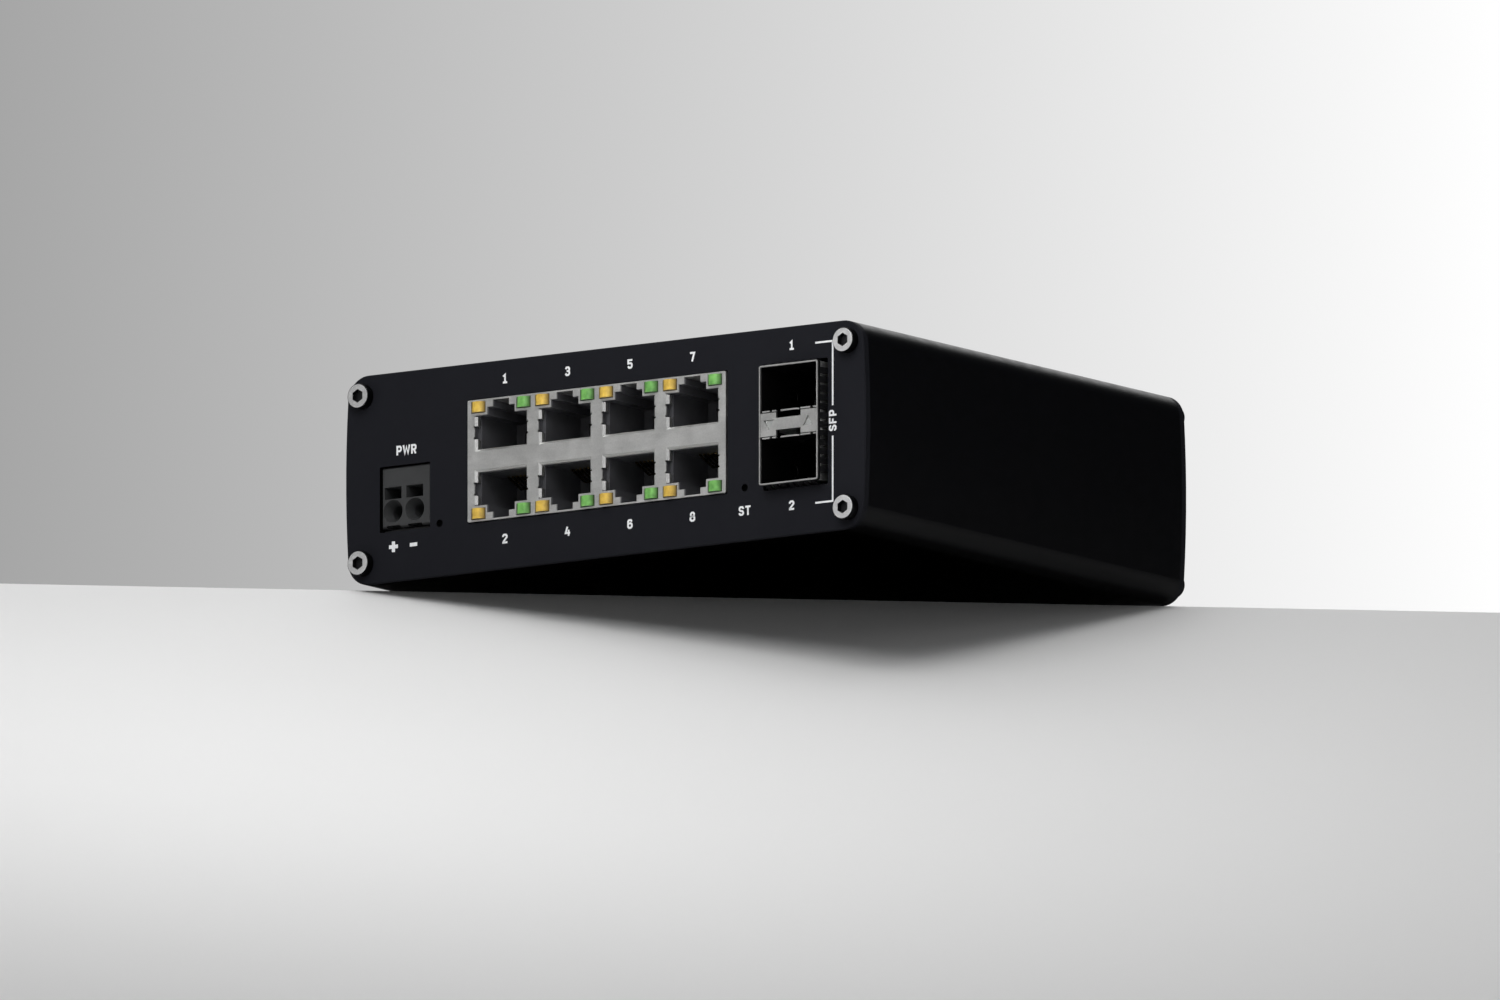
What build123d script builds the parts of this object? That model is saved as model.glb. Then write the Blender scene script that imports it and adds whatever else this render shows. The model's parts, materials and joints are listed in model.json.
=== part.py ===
from build123d import *
import os
from math import cos, radians, sin

# Compact metal-cased network switch: eight stacked copper ports, two stacked
# module ports and a pluggable two-pole power terminal on the front panel.
# Millimetres. X runs to the right, Y from front to back, Z up.
# The origin is the centre of the flat base.

# ---------------------------------------------------------------- driving sizes
HEIGHT = 44.2              # base to top
DEPTH = 117.0              # front panel face to rear panel face
SIDE_BOW = 0.9             # how far each side bows out at mid height
CORNER_R = 5.2             # outer corner radius of the case profile
WALL = 1.8                 # wall of the extruded case
PANEL_T = 1.8              # front and rear panel thickness
EDGE_BREAK = 0.25          # small chamfer on exposed panel edges

SCREW_INSET = 4.45         # screw axis from the side and from the base or top
SCREW_R = 1.5              # M3 shank
SCREW_CLEARANCE = 0.2      # round the shank in a panel hole
SCREW_HEAD_R = 2.65
SCREW_HEAD_H = 2.0
SCREW_HEAD_ROUND = 0.3     # rounded rim of the head
SCREW_LENGTH = 9.0         # shank under the head
SOCKET_AF = 2.5            # hexagon socket across flats
SOCKET_DEPTH = 1.3
BOSS_WALL = 1.7            # metal round the screw in each corner of the case
FIT = 0.05                 # running clearance
PAST = 1.0                 # how far a cutting shape runs past what it cuts

BOARD_T = 1.6              # circuit board thickness
BOARD_TOP = 10.4           # upper face of the board above the base
BOARD_SIDE_GAP = 1.0       # board edge to the inside of the case
BOARD_END_GAP = 0.4        # board end to each panel
GUIDE_T = 1.2              # card guide rib thickness
GUIDE_REACH = 1.6          # how far a rib overlaps the board edge
BOARD_CORNER_R = 1.0

BRACKET_SPACING_X = 50.0   # threaded holes in the base for a rail or wall bracket
BRACKET_SPACING_Y = 60.0
BRACKET_HOLE_R = 1.65      # M4 thread core
BRACKET_RIB_W = 8.0
BRACKET_RIB_H = 2.2

JACK_COLUMNS = 4
JACK_PITCH = 16.2          # column to column
JACK_FROM_PLUG = 10.0      # block side to the plug side
JACK_FROM_CAGE = 10.05     # block side to the cage side
JACK_H = 25.7
JACK_DEPTH = 26.0
JACK_PROUD = 0.4           # shield face in front of the panel face
JACK_STANDOFF = 0.2        # block above the board
SHIELD_T = 0.35
SHIELD_ROUND = 0.3         # corner radius of the folded shield
JACK_OPENING_GAP = 0.2     # panel cut-out around the shield
CUT_OUT_ROUND = 0.3        # corner radius of the panel cut-outs
MOUTH_W = 13.3             # port mouth in the shield
MOUTH_NEAR = 1.9           # mouth edge nearest the block's mid plane
MOUTH_FAR = 9.55           # far edge of the wide part
STEP_W = 7.0               # first latch step
STEP_FAR = 11.15
NOTCH_W = 4.1              # latch notch
NOTCH_FAR = 12.5
CAVITY_W = 12.0            # plug space in the plastic core
CAVITY_DEPTH = 14.0
CAVITY_INSET = 0.1         # core cavity behind the edge of the shield mouth
FLARE = 0.5                # lead-in slope of the tabs folded into each mouth
TAB_DEPTH = 1.5
TAB_ROOT = 0.2             # where a tab runs into the front sheet
TAB_START = 0.05           # first side tab from the near edge of the mouth
TAB_LENGTH = 2.6           # first tab on a side
TAB_BREAK = 2.8            # clear stretch before the second
TAB_FAR_GAP = 0.25         # second tab to the far edge of the mouth
RELIEF_W = 0.25            # bend relief nicks beside the clear stretch
RELIEF_H = 0.42
TAB_ROOM = 0.2             # pocket in the core past a tab
CONTACT_START = 7.5        # contact wires behind the core face
CONTACT_BEND = 1.6         # bent tail at the back of each wire
CONTACT_FALL = 0.5
COMB_W = 0.62              # comb slots in the back of each plug space
COMB_DEPTH = 1.2
COMB_H = 5.6
CONTACT_PITCH = 1.02
CONTACTS_PER_PORT = 8
CONTACT_W = 0.45
CONTACT_T = 0.3
CONTACT_RISE = 2.0
LAMP_W = 3.4
LAMP_H = 2.2
LAMP_CROWN = 1.0           # how far the lamp face bulges
LAMP_LENGTH = 7.0
LAMP_FROM_COLUMN = 0.68    # lamp side to the edge of its column
LAMP_FROM_EDGE = 0.5       # lamp to the top or bottom of the block
LAMP_GAP = 0.12

CAGE_FROM_SIDE = 10.3      # cage side to the right side of the case
CAGE_W = 14.85
CAGE_H = 25.2
CAGE_DEPTH = 48.0
CAGE_PROUD = 2.7           # rim in front of the panel face
CAGE_T = 0.3
CAGE_STANDOFF = 0.4
CAGE_OPENING_GAP = 0.75    # panel cut-out around the cage, closed by the gasket
DIVIDER_H = 5.9            # between the two module channels
DIVIDER_T = 1.2
DIVIDER_GAP = 0.2          # divider to each channel sheet
SHEET_NICK_DEPTH = 0.9     # nicks in the front edge of each channel sheet
SHEET_NICKS = ((-7.2, -6.6), (-4.7, -4.1), (5.6, 6.3))
VENT_R = 1.5               # round vents in the cage sides
VENT_START = 8.0
VENT_PITCH = 6.0
VENT_COUNT = 5
LATCH_W = 5.7
LATCH_GAP = 0.25           # beside each latch tongue
LATCH_LENGTH = 14.5
LATCH_CHAMFER = 1.0
LATCH_DROP = 1.7           # depth of the notch that a tongue swings into
CATCH_START = 4.5          # catch hole from the tongue's tip
CATCH_W = 3.0
CATCH_L = 2.8
MARK_SIDE = 2.5            # triangular light windows in the divider
MARK_X = 4.95
MARK_RECESS = 0.4          # light pipe behind the divider's face
GASKET_T = 0.15
GASKET_SETBACK = 0.25      # band behind the cage rim
GASKET_BAND = 0.7
BAND_OVERLAP = 0.1         # band over the roots of the fingers
FINGER_W = 1.25
FINGER_PITCH = 1.9
FINGER_LENGTH = 4.0
SLOT_BODY_W = 12.4         # edge connector in each channel
SLOT_BODY_H = 6.0
SLOT_BODY_L = 7.0
SLOT_BODY_UP = 1.2         # connector above the channel floor
SLOT_W = 10.0
SLOT_H = 1.9
SLOT_DEPTH = 5.0
SLOT_CONTACTS = 10
SLOT_CONTACT_PITCH = 0.8
SLOT_CONTACT_W = 0.4
SLOT_CONTACT_T = 0.2
SLOT_CONTACT_L = 4.0

PLUG_FROM_SIDE = 8.9       # plug side to the left side of the case
PLUG_W = 12.4
PLUG_H = 12.8
PLUG_L = 20.0
PLUG_RECESS = 0.5          # plug face behind the panel face
PLUG_GAP = 0.2             # plug to the panel cut-out and to the header
PLUG_FLOOR_GAP = 0.9       # under the plug in the panel cut-out
ENTRY_PITCH = 5.5          # two wire entries
ENTRY_OFFSET = -0.6        # their middle from the plug's middle
ENTRY_HEIGHT = 3.5         # wire axis above the plug's underside
ENTRY_MOUTH_R = 2.4
ENTRY_BORE_R = 1.6
FUNNEL_DEPTH = 2.4
PLUG_CHAMFER = 0.35
CHAMBER_START = 6.5        # clamp chamber behind the plug face
CHAMBER_W = 4.3
CHAMBER_FLOOR = 1.2        # plastic under the chamber
CHAMBER_ROOF = 2.4
GRIP_W = 3.5               # grip notches under the plug face
GRIP_H = 0.5
GRIP_DEPTH = 4.0
RELEASE_W = 4.25           # release slots
RELEASE_H = 2.55
RELEASE_HEIGHT = 7.35      # slot middle above the plug's underside
HEADER_WALL = 1.2
HEADER_SETBACK = 0.2       # header mouth behind the front panel
HEADER_END_GAP = 0.4       # behind the plug
PIN_SIZE = 1.0             # header pins
PIN_LENGTH = 5.8
PIN_CHAMFER = 0.25
PIN_TAIL_GAP = 0.3         # bent tail behind the header
PIVOT_BACK = 8.0           # clamp tongue pivot behind the plug face
PIVOT_UP = 9.3             # and above the plug's underside
PIVOT_R = 0.45
EYE_WALL = 0.4             # metal round the pivot
TONGUE_W = 3.7
TONGUE_T = 0.4
TONGUE_TIP_BACK = 11.3     # tongue tip behind the plug face
TONGUE_TIP_GAP = 0.1       # tip above the current bar
TIP_BEVEL = 0.25
BAR_T = 0.45               # current bar that a wire is pressed against
BAR_FLOOR_GAP = 0.1
BAR_START_GAP = 0.3
TULIP_START = 14.4         # pin socket behind the plug face
TULIP_W = 2.6
TULIP_END_GAP = 0.4

LAMP_HOLE_R = 0.8          # pinholes for the power and status lamps
POWER_LAMP_FROM_PLUG = 2.6 # pinhole beyond the plug's right side
STATUS_LAMP_FROM_CAGE = 5.5
PIPE_SETBACK = 0.8         # light pipe behind the panel face
LAMP_CHIP_GAP = 0.6        # lamp chip behind the board's front edge
LAMP_CHIP_W = 1.6
LAMP_CHIP_L = 1.2

GROUND_FROM_SIDE = 14.0    # earth screw in the rear panel
GROUND_R = 2.0             # M4 shank
GROUND_HEAD_R = 4.0
GROUND_HEAD_H = 2.6
GROUND_HEAD_ROUND = 1.0
RECESS_L = 4.2             # cross recess
RECESS_W = 0.9
RECESS_DEPTH = 1.3
WASHER_T = 0.9
WASHER_RIM = 0.6           # washer beyond the screw head
WASHER_TEETH = 12
TOOTH_GAP = 0.6
NUT_R = 4.0
NUT_H = 3.0
NUT_CHAMFER = 0.4

CHIP_SIZE = 20.0           # switch chip
CHIP_H = 1.4
CHIP_BEHIND_JACKS = 26.0
CHIP_BEVEL = 0.15
LEAD_L = 1.0
LEAD_T = 0.25
CHIP_LEAD_PITCH = 1.0
CHIP_LEAD_COUNT = 18
SMALL_LEAD_PITCH = 1.27
SMALL_LEAD_COUNT = 4
PAD_MARGIN = 1.0           # thermal pad inside the chip edge
PAD_H = 0.5
SINK_SIZE = 24.0
SINK_BASE = 2.0
SINK_H = 12.0
SINK_FINS = 8
SINK_FIN_T = 1.0
FLASH_SIZE = (4.0, 5.0, 1.6)
FLASH_FROM_CHIP = (22.0, 6.0)
REGULATOR_SIZE = (5.0, 5.2, 1.6)
REGULATOR_FROM_INDUCTOR = (14.0, -4.0)
DIODE_SIZE = (7.0, 6.0, 2.4)
DIODE_FROM_INDUCTOR = -14.0
INDUCTOR_FROM_PLUG = (2.0, 26.0)
INDUCTOR_SIZE = 12.4
INDUCTOR_H = 6.5
INDUCTOR_ROUND = 1.6
CAPACITOR_R = 4.0
CAPACITOR_H = 11.5
CAPACITOR_PITCH = 10.0
CAPACITOR_COUNT = 3
CAPACITOR_FROM_INDUCTOR = 15.0
CAPACITOR_ROUND = 0.6
GROOVE_UP = 1.9            # crimp groove of each can
GROOVE_H = 0.5
GROOVE_DEPTH = 0.3
CRYSTAL_SIZE = (4.8, 11.2, 3.4)
CRYSTAL_FROM_CHIP = (-18.0, 4.0)
CRYSTAL_ROUND = 2.2
CERAMIC_SIZE = (1.0, 1.8, 0.8)
CERAMIC_GAP = 3.4          # ceramic capacitors beyond the chip edge
CERAMIC_PITCH = 3.0
CERAMIC_ROW = 5
CAGE_CERAMIC_PITCH = 4.0
CAGE_CERAMIC_ROW = 4
CAGE_CERAMIC_GAP = 5.0

# ---------------------------------------------------------------- derived places
JACK_W = JACK_COLUMNS * JACK_PITCH + 2 * SHIELD_T
WIDTH = (PLUG_FROM_SIDE + PLUG_W + JACK_FROM_PLUG + JACK_W
         + JACK_FROM_CAGE + CAGE_W + CAGE_FROM_SIDE)      # across the crown of the bowed sides
FRONT = -DEPTH / 2
BACK = DEPTH / 2
CASE_FRONT = FRONT + PANEL_T
CASE_BACK = BACK - PANEL_T
MID_Z = HEIGHT / 2
SCREW_X = WIDTH / 2 - SCREW_INSET
SCREW_Z = (SCREW_INSET, HEIGHT - SCREW_INSET)
BOSS_R = SCREW_R + BOSS_WALL
BOARD_BOTTOM = BOARD_TOP - BOARD_T
BOARD_HALF = WIDTH / 2 - SIDE_BOW - WALL - BOARD_SIDE_GAP
BOARD_FRONT = CASE_FRONT + BOARD_END_GAP
BOARD_BACK = CASE_BACK - BOARD_END_GAP

PLUG_X = -WIDTH / 2 + PLUG_FROM_SIDE + PLUG_W / 2
JACK_CENTRE_X = PLUG_X + PLUG_W / 2 + JACK_FROM_PLUG + JACK_W / 2
JACK_BOTTOM = BOARD_TOP + JACK_STANDOFF
JACK_TOP = JACK_BOTTOM + JACK_H
JACK_MID = JACK_BOTTOM + JACK_H / 2
JACK_FACE = FRONT - JACK_PROUD
JACK_X = [JACK_CENTRE_X + (i - (JACK_COLUMNS - 1) / 2) * JACK_PITCH for i in range(JACK_COLUMNS)]
CORE_FACE = JACK_FACE + SHIELD_T
CORE_TOP = JACK_TOP - SHIELD_T - FIT
CORE_BACK = JACK_FACE + JACK_DEPTH - SHIELD_T - FIT
LAMP_X = JACK_PITCH / 2 - LAMP_FROM_COLUMN - LAMP_W / 2   # from the port centre
LAMP_Z = JACK_H / 2 - LAMP_FROM_EDGE - LAMP_H / 2         # from the block's mid plane
CAVITY_NEAR = MOUTH_NEAR + FLARE + FIT
ROWS = (1, -1)             # upper row is latch-up, lower row is latch-down

CAGE_X = WIDTH / 2 - CAGE_FROM_SIDE - CAGE_W / 2
CAGE_BOTTOM = BOARD_TOP + CAGE_STANDOFF
CAGE_MID = CAGE_BOTTOM + CAGE_H / 2
CAGE_FACE = FRONT - CAGE_PROUD
CAGE_BACK = CAGE_FACE + CAGE_DEPTH
LATCH_Z = DIVIDER_H / 2 - CAGE_T / 2

PLUG_BOTTOM = BOARD_TOP + PLUG_GAP + PLUG_FLOOR_GAP
PLUG_TOP = PLUG_BOTTOM + PLUG_H
PLUG_FACE = FRONT + PLUG_RECESS
PLUG_BACK = PLUG_FACE + PLUG_L
ENTRY_X = [PLUG_X + ENTRY_OFFSET + side * ENTRY_PITCH / 2 for side in (-1, 1)]
ENTRY_Z = PLUG_BOTTOM + ENTRY_HEIGHT
RELEASE_Z = PLUG_BOTTOM + RELEASE_HEIGHT
HEADER_BACK = PLUG_BACK + HEADER_END_GAP
PIVOT_Y = PLUG_FACE + PIVOT_BACK
PIVOT_Z = PLUG_BOTTOM + PIVOT_UP
BAR_LOW = PLUG_BOTTOM + CHAMBER_FLOOR + BAR_FLOOR_GAP
BAR_TOP = BAR_LOW + BAR_T
TONGUE_TIP = (PLUG_FACE + TONGUE_TIP_BACK, BAR_TOP + TONGUE_TIP_GAP)

LAMP_HOLE_Z = BOARD_TOP + FIT + LAMP_HOLE_R
POWER_LAMP_X = PLUG_X + PLUG_W / 2 + POWER_LAMP_FROM_PLUG
STATUS_LAMP_X = CAGE_X - CAGE_W / 2 - STATUS_LAMP_FROM_CAGE
GROUND_X = WIDTH / 2 - GROUND_FROM_SIDE

CHIP_AT = (JACK_CENTRE_X, JACK_FACE + JACK_DEPTH + CHIP_BEHIND_JACKS)
FLASH_AT = (CHIP_AT[0] + FLASH_FROM_CHIP[0], CHIP_AT[1] + FLASH_FROM_CHIP[1])
CRYSTAL_AT = (CHIP_AT[0] + CRYSTAL_FROM_CHIP[0], CHIP_AT[1] + CRYSTAL_FROM_CHIP[1])
INDUCTOR_AT = (PLUG_X + INDUCTOR_FROM_PLUG[0], PLUG_BACK + INDUCTOR_FROM_PLUG[1])
REGULATOR_AT = (INDUCTOR_AT[0] + REGULATOR_FROM_INDUCTOR[0], INDUCTOR_AT[1] + REGULATOR_FROM_INDUCTOR[1])
DIODE_AT = (INDUCTOR_AT[0], INDUCTOR_AT[1] + DIODE_FROM_INDUCTOR)


# ---------------------------------------------------------------- helpers
def block(x0, x1, y0, y1, z0, z1):
    """Box between two corners."""
    return Pos((x0 + x1) / 2, (y0 + y1) / 2, (z0 + z1) / 2) * Box(x1 - x0, y1 - y0, z1 - z0)


def rod(x, z, radius, y0, y1):
    """Cylinder along Y."""
    return Pos(x, (y0 + y1) / 2, z) * Rot(90, 0, 0) * Cylinder(radius, y1 - y0)


def run_back(section, y0, y1):
    """Extrude a section drawn in X and Z from y0 to y1."""
    plane = Plane(origin=(0, y1, 0), x_dir=(1, 0, 0), z_dir=(0, -1, 0))
    return extrude(plane * section, y1 - y0)


def rect(x0, x1, z0, z1):
    """Rectangle in a section, between two corners."""
    return Pos((x0 + x1) / 2, (z0 + z1) / 2) * Rectangle(x1 - x0, z1 - z0)


def span(centre, size):
    """Low and high end of a size about a centre."""
    return centre - size / 2, centre + size / 2


def group(shapes):
    """Separate solids kept together in one node."""
    return Compound([solid for shape in shapes for solid in shape.solids()])


# ---------------------------------------------------------------- case
def case_outline(inset=0.0):
    """Case profile: flat top and base, bowed sides, round corners."""
    half = WIDTH / 2 - inset
    corner = half - SIDE_BOW
    low = inset
    high = HEIGHT - inset
    edges = [
        Line((-corner, low), (corner, low)),
        ThreePointArc((corner, low), (half, MID_Z), (corner, high)),
        Line((corner, high), (-corner, high)),
        ThreePointArc((-corner, high), (-half, MID_Z), (-corner, low)),
    ]
    face = make_face(edges)
    return fillet(face.vertices(), CORNER_R - inset)


def screw_places():
    return [(side * SCREW_X, z) for side in (-1, 1) for z in SCREW_Z]


def housing_shell():
    """Extruded tube with screw bosses, card guides and bracket ribs."""
    section = case_outline() - case_outline(WALL)
    inside = case_outline(WALL / 2)
    for x, z in screw_places():
        section += Pos(x, z) * Circle(BOSS_R) & inside
    rib_edge = BOARD_HALF - GUIDE_REACH
    for side in (-1, 1):
        for low in (BOARD_BOTTOM - FIT - GUIDE_T, BOARD_TOP + FIT):
            rib = rect(*sorted((side * rib_edge, side * WIDTH / 2)), low, low + GUIDE_T)
            section += rib & inside
        x = side * BRACKET_SPACING_X / 2
        half = BRACKET_RIB_W / 2
        section += rect(x - half, x + half, WALL / 2, WALL + BRACKET_RIB_H)
    for x, z in screw_places():
        section -= Pos(x, z) * Circle(SCREW_R + FIT)
    shell = run_back(section, CASE_FRONT, CASE_BACK)
    for x in (-BRACKET_SPACING_X / 2, BRACKET_SPACING_X / 2):
        for y in (-BRACKET_SPACING_Y / 2, BRACKET_SPACING_Y / 2):
            shell -= Pos(x, y, (WALL + BRACKET_RIB_H) / 2) * Cylinder(BRACKET_HOLE_R, 4 * WALL)
    return shell


def blank_panel(y0, outer_face):
    """Panel with the case profile, chamfered round its outer face."""
    panel = run_back(case_outline(), y0, y0 + PANEL_T)
    face = panel.faces().sort_by(Axis.Y)[outer_face]
    panel = chamfer(face.edges(), EDGE_BREAK)
    for x, z in screw_places():
        panel -= rod(x, z, SCREW_R + SCREW_CLEARANCE, y0 - PAST, y0 + PANEL_T + PAST)
    return panel


def cut_out(x_mid, half_w, z0, z1, gap):
    """Rectangular panel cut-out with small corner radii."""
    hole = rect(x_mid - half_w - gap, x_mid + half_w + gap, z0 - gap, z1 + gap)
    return run_back(fillet(hole.vertices(), CUT_OUT_ROUND), FRONT - PAST, CASE_FRONT + PAST)


def front_panel():
    panel = blank_panel(FRONT, 0)
    panel -= cut_out(JACK_CENTRE_X, JACK_W / 2, JACK_BOTTOM, JACK_TOP, JACK_OPENING_GAP)
    panel -= cut_out(CAGE_X, CAGE_W / 2, CAGE_BOTTOM, CAGE_BOTTOM + CAGE_H, CAGE_OPENING_GAP)
    plug_low = PLUG_BOTTOM - PLUG_FLOOR_GAP + PLUG_GAP
    panel -= cut_out(PLUG_X, PLUG_W / 2, plug_low, PLUG_TOP, PLUG_GAP)
    for x in (POWER_LAMP_X, STATUS_LAMP_X):
        panel -= rod(x, LAMP_HOLE_Z, LAMP_HOLE_R, FRONT - PAST, CASE_FRONT + PAST)
    return panel


def rear_panel():
    panel = blank_panel(CASE_BACK, -1)
    return panel - rod(GROUND_X, MID_Z, GROUND_R + 2 * FIT, CASE_BACK - PAST, BACK + PAST)


def panel_screw(x, z, face, out):
    """Low socket-head screw; out is -1 at the front and 1 at the rear."""
    head = rod(x, z, SCREW_HEAD_R, *sorted((face, face + out * SCREW_HEAD_H)))
    rim = head.edges().filter_by(GeomType.CIRCLE).sort_by(Axis.Y)[0 if out < 0 else -1]
    head = fillet(rim, SCREW_HEAD_ROUND)
    shank = rod(x, z, SCREW_R, *sorted((face, face - out * SCREW_LENGTH)))
    top = face + out * SCREW_HEAD_H
    hexagon = Pos(x, z) * Rot(0, 0, 30) * RegularPolygon(SOCKET_AF / 2, 6, major_radius=False)
    socket = run_back(hexagon, *sorted((top + out * PAST, top - out * SOCKET_DEPTH)))
    return head + shank - socket


# ---------------------------------------------------------------- board
def main_board():
    board = block(-BOARD_HALF, BOARD_HALF, BOARD_FRONT, BOARD_BACK, BOARD_BOTTOM, BOARD_TOP)
    return fillet(board.edges().filter_by(Axis.Z), BOARD_CORNER_R)


# ---------------------------------------------------------------- stacked copper jacks
def mouth_section(row, near, wide, inset=0.0, grow_top=0.0):
    """Stepped port outline about the block's mid plane, for one row."""
    parts = [
        (wide / 2, near, MOUTH_FAR - inset),
        (STEP_W / 2 - inset, near, STEP_FAR - inset),
        (NOTCH_W / 2 - inset, near, NOTCH_FAR + grow_top),
    ]
    section = None
    for half, low, high in parts:
        piece = rect(-half, half, *sorted((row * low, row * high)))
        section = piece if section is None else section + piece
    return section


def jack_ports():
    """Middle and row of each port."""
    return [(x, row) for x in JACK_X for row in ROWS]


def above(x, row, x0, x1, y0, y1, low, high):
    """Box measured from a port's middle and from the block's mid plane."""
    return block(x + x0, x + x1, y0, y1, *sorted((JACK_MID + row * low, JACK_MID + row * high)))


def tab_stretches():
    """Near and far end of the two side tabs, from the block's mid plane."""
    first = MOUTH_NEAR + TAB_START
    second = first + TAB_LENGTH + TAB_BREAK
    return [(first, first + TAB_LENGTH), (second, MOUTH_FAR - TAB_FAR_GAP)]


def jack_shield():
    """Folded tinned shield round the block, open below."""
    x0, x1 = span(JACK_CENTRE_X, JACK_W)
    back = JACK_FACE + JACK_DEPTH
    shield = block(x0, x1, JACK_FACE, back, JACK_BOTTOM, JACK_TOP)
    shield = fillet(shield.edges().filter_by(Axis.Y), SHIELD_ROUND)
    shield -= block(x0 + SHIELD_T, x1 - SHIELD_T, CORE_FACE, back - SHIELD_T, 0, JACK_TOP - SHIELD_T)
    sheet = (JACK_FACE - PAST, CORE_FACE + FIT)
    window = rect(*span(0, LAMP_W + 2 * LAMP_GAP), *span(0, LAMP_H + 2 * LAMP_GAP))
    for x, row in jack_ports():
        mouth = Pos(x, JACK_MID) * mouth_section(row, MOUTH_NEAR, MOUTH_W)
        shield -= run_back(mouth, *sheet)
        for side in (-1, 1):
            shield -= run_back(Pos(x + side * LAMP_X, JACK_MID + row * LAMP_Z) * window, *sheet)
            for low, high in reliefs():
                nick = sorted((0, side * (MOUTH_W / 2 + RELIEF_W)))
                shield -= above(x, row, *nick, *sheet, low, high)
        shield += mouth_tabs(x, row)
    return shield


def reliefs():
    """Bend relief nicks at the ends of the clear stretch between the side tabs."""
    (_, low), (high, _) = tab_stretches()
    return [(low, low + RELIEF_H), (high - RELIEF_H, high)]


def tab_profile(edge, inward):
    """Folded tab: a sloping lead-in from the mouth edge, then straight back.
    Points are (distance, depth); inward is -1 where the mouth lies below the edge."""
    tip = edge + inward * FLARE
    root = edge - inward * TAB_ROOT
    back = tip - inward * SHIELD_T
    y = JACK_FACE
    return [(root, y), (edge, y), (tip, y + FLARE), (tip, y + TAB_DEPTH), (back, y + TAB_DEPTH),
            (back, y + FLARE + TAB_ROOT), (root, y + SHIELD_T)]


def mouth_tabs(x, row):
    """Tabs folded into a mouth: two on each side and a lip along the near edge."""
    lip = [(y, row * z) for z, y in tab_profile(MOUTH_NEAR, 1)]
    half = MOUTH_W / 2 - TAB_START
    tabs = Pos(x, 0, JACK_MID) * extrude(Plane.YZ * make_face(Polyline(*lip, close=True)), half, both=True)
    for side in (-1, 1):
        flat = make_face(Polyline(*[(side * px, y) for px, y in tab_profile(MOUTH_W / 2, -1)], close=True))
        for low, high in tab_stretches():
            middle = JACK_MID + row * (low + high) / 2
            tabs += Pos(x, 0, middle) * extrude(flat, (high - low) / 2, both=True)
    return tabs


def jack_core(x):
    """Plastic core of one column: an upper and a lower plug cavity."""
    half = JACK_PITCH / 2 - FIT
    core = block(x - half, x + half, CORE_FACE, CORE_BACK, JACK_BOTTOM, CORE_TOP)
    tab_end = JACK_FACE + TAB_DEPTH + TAB_ROOM
    cavity_end = CORE_FACE + CAVITY_DEPTH
    pocket = MOUTH_W / 2 + TAB_ROOT + FIT
    pocket_near = MOUTH_NEAR - TAB_ROOT - FIT
    lamp_low = LAMP_Z - LAMP_H / 2 - FIT
    for row in ROWS:
        cavity = mouth_section(row, CAVITY_NEAR, CAVITY_W, CAVITY_INSET, 2 * SHIELD_T)
        core -= run_back(Pos(x, JACK_MID) * cavity, CORE_FACE - PAST, cavity_end)
        core -= above(x, row, -pocket, pocket, CORE_FACE - PAST, tab_end,
                      pocket_near, MOUTH_FAR - TAB_FAR_GAP + FIT)
        for offset in contact_offsets():
            core -= above(x, row, *span(offset, COMB_W), cavity_end - PAST, cavity_end + COMB_DEPTH,
                          CAVITY_NEAR, CAVITY_NEAR + COMB_H)
        for side in (-1, 1):
            core -= above(x, row, *span(side * LAMP_X, LAMP_W + 2 * FIT), CORE_FACE - PAST,
                          JACK_FACE + LAMP_LENGTH + FIT, lamp_low, JACK_H / 2 + SHIELD_T)
    return core


def contact_offsets():
    """Middles of the contact wires from the port's middle."""
    return [(i - (CONTACTS_PER_PORT - 1) / 2) * CONTACT_PITCH for i in range(CONTACTS_PER_PORT)]


def contact_wires(row):
    """Eight sprung contact wires in each port of one row."""
    floor = CAVITY_NEAR + FIT
    start = CORE_FACE + CONTACT_START
    end = CORE_FACE + CAVITY_DEPTH - FIT
    bend = end - CONTACT_BEND
    path = [(start, floor), (bend, floor + CONTACT_RISE), (end, floor + CONTACT_RISE - CONTACT_FALL)]
    under = [(y, row * z) for y, z in path]
    over = [(y, row * (z + CONTACT_T)) for y, z in reversed(path)]
    outline = Plane.YZ * make_face(Polyline(*under, *over, close=True))
    wire = extrude(outline, CONTACT_W / 2, both=True)
    return group([Pos(x + offset, 0, JACK_MID) * wire for x in JACK_X for offset in contact_offsets()])


def port_lamps(side):
    """Light pipes on one side of every port, with a bowed face."""
    half = LAMP_W / 2
    front = JACK_FACE
    section = make_face([
        ThreePointArc((-half, front), (0, front - LAMP_CROWN), (half, front)),
        Line((half, front), (half, front + LAMP_LENGTH)),
        Line((half, front + LAMP_LENGTH), (-half, front + LAMP_LENGTH)),
        Line((-half, front + LAMP_LENGTH), (-half, front)),
    ])
    pipe = extrude(section, LAMP_H / 2, both=True)
    return group([Pos(x + side * LAMP_X, 0, JACK_MID + row * LAMP_Z) * pipe for x, row in jack_ports()])


# ---------------------------------------------------------------- stacked module cage
def cage_section(inset):
    half = CAGE_W / 2 - inset
    high = CAGE_H / 2 - inset
    return fillet(rect(-half, half, -high, high).vertices(), max(0.15, 0.5 - inset))


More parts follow.
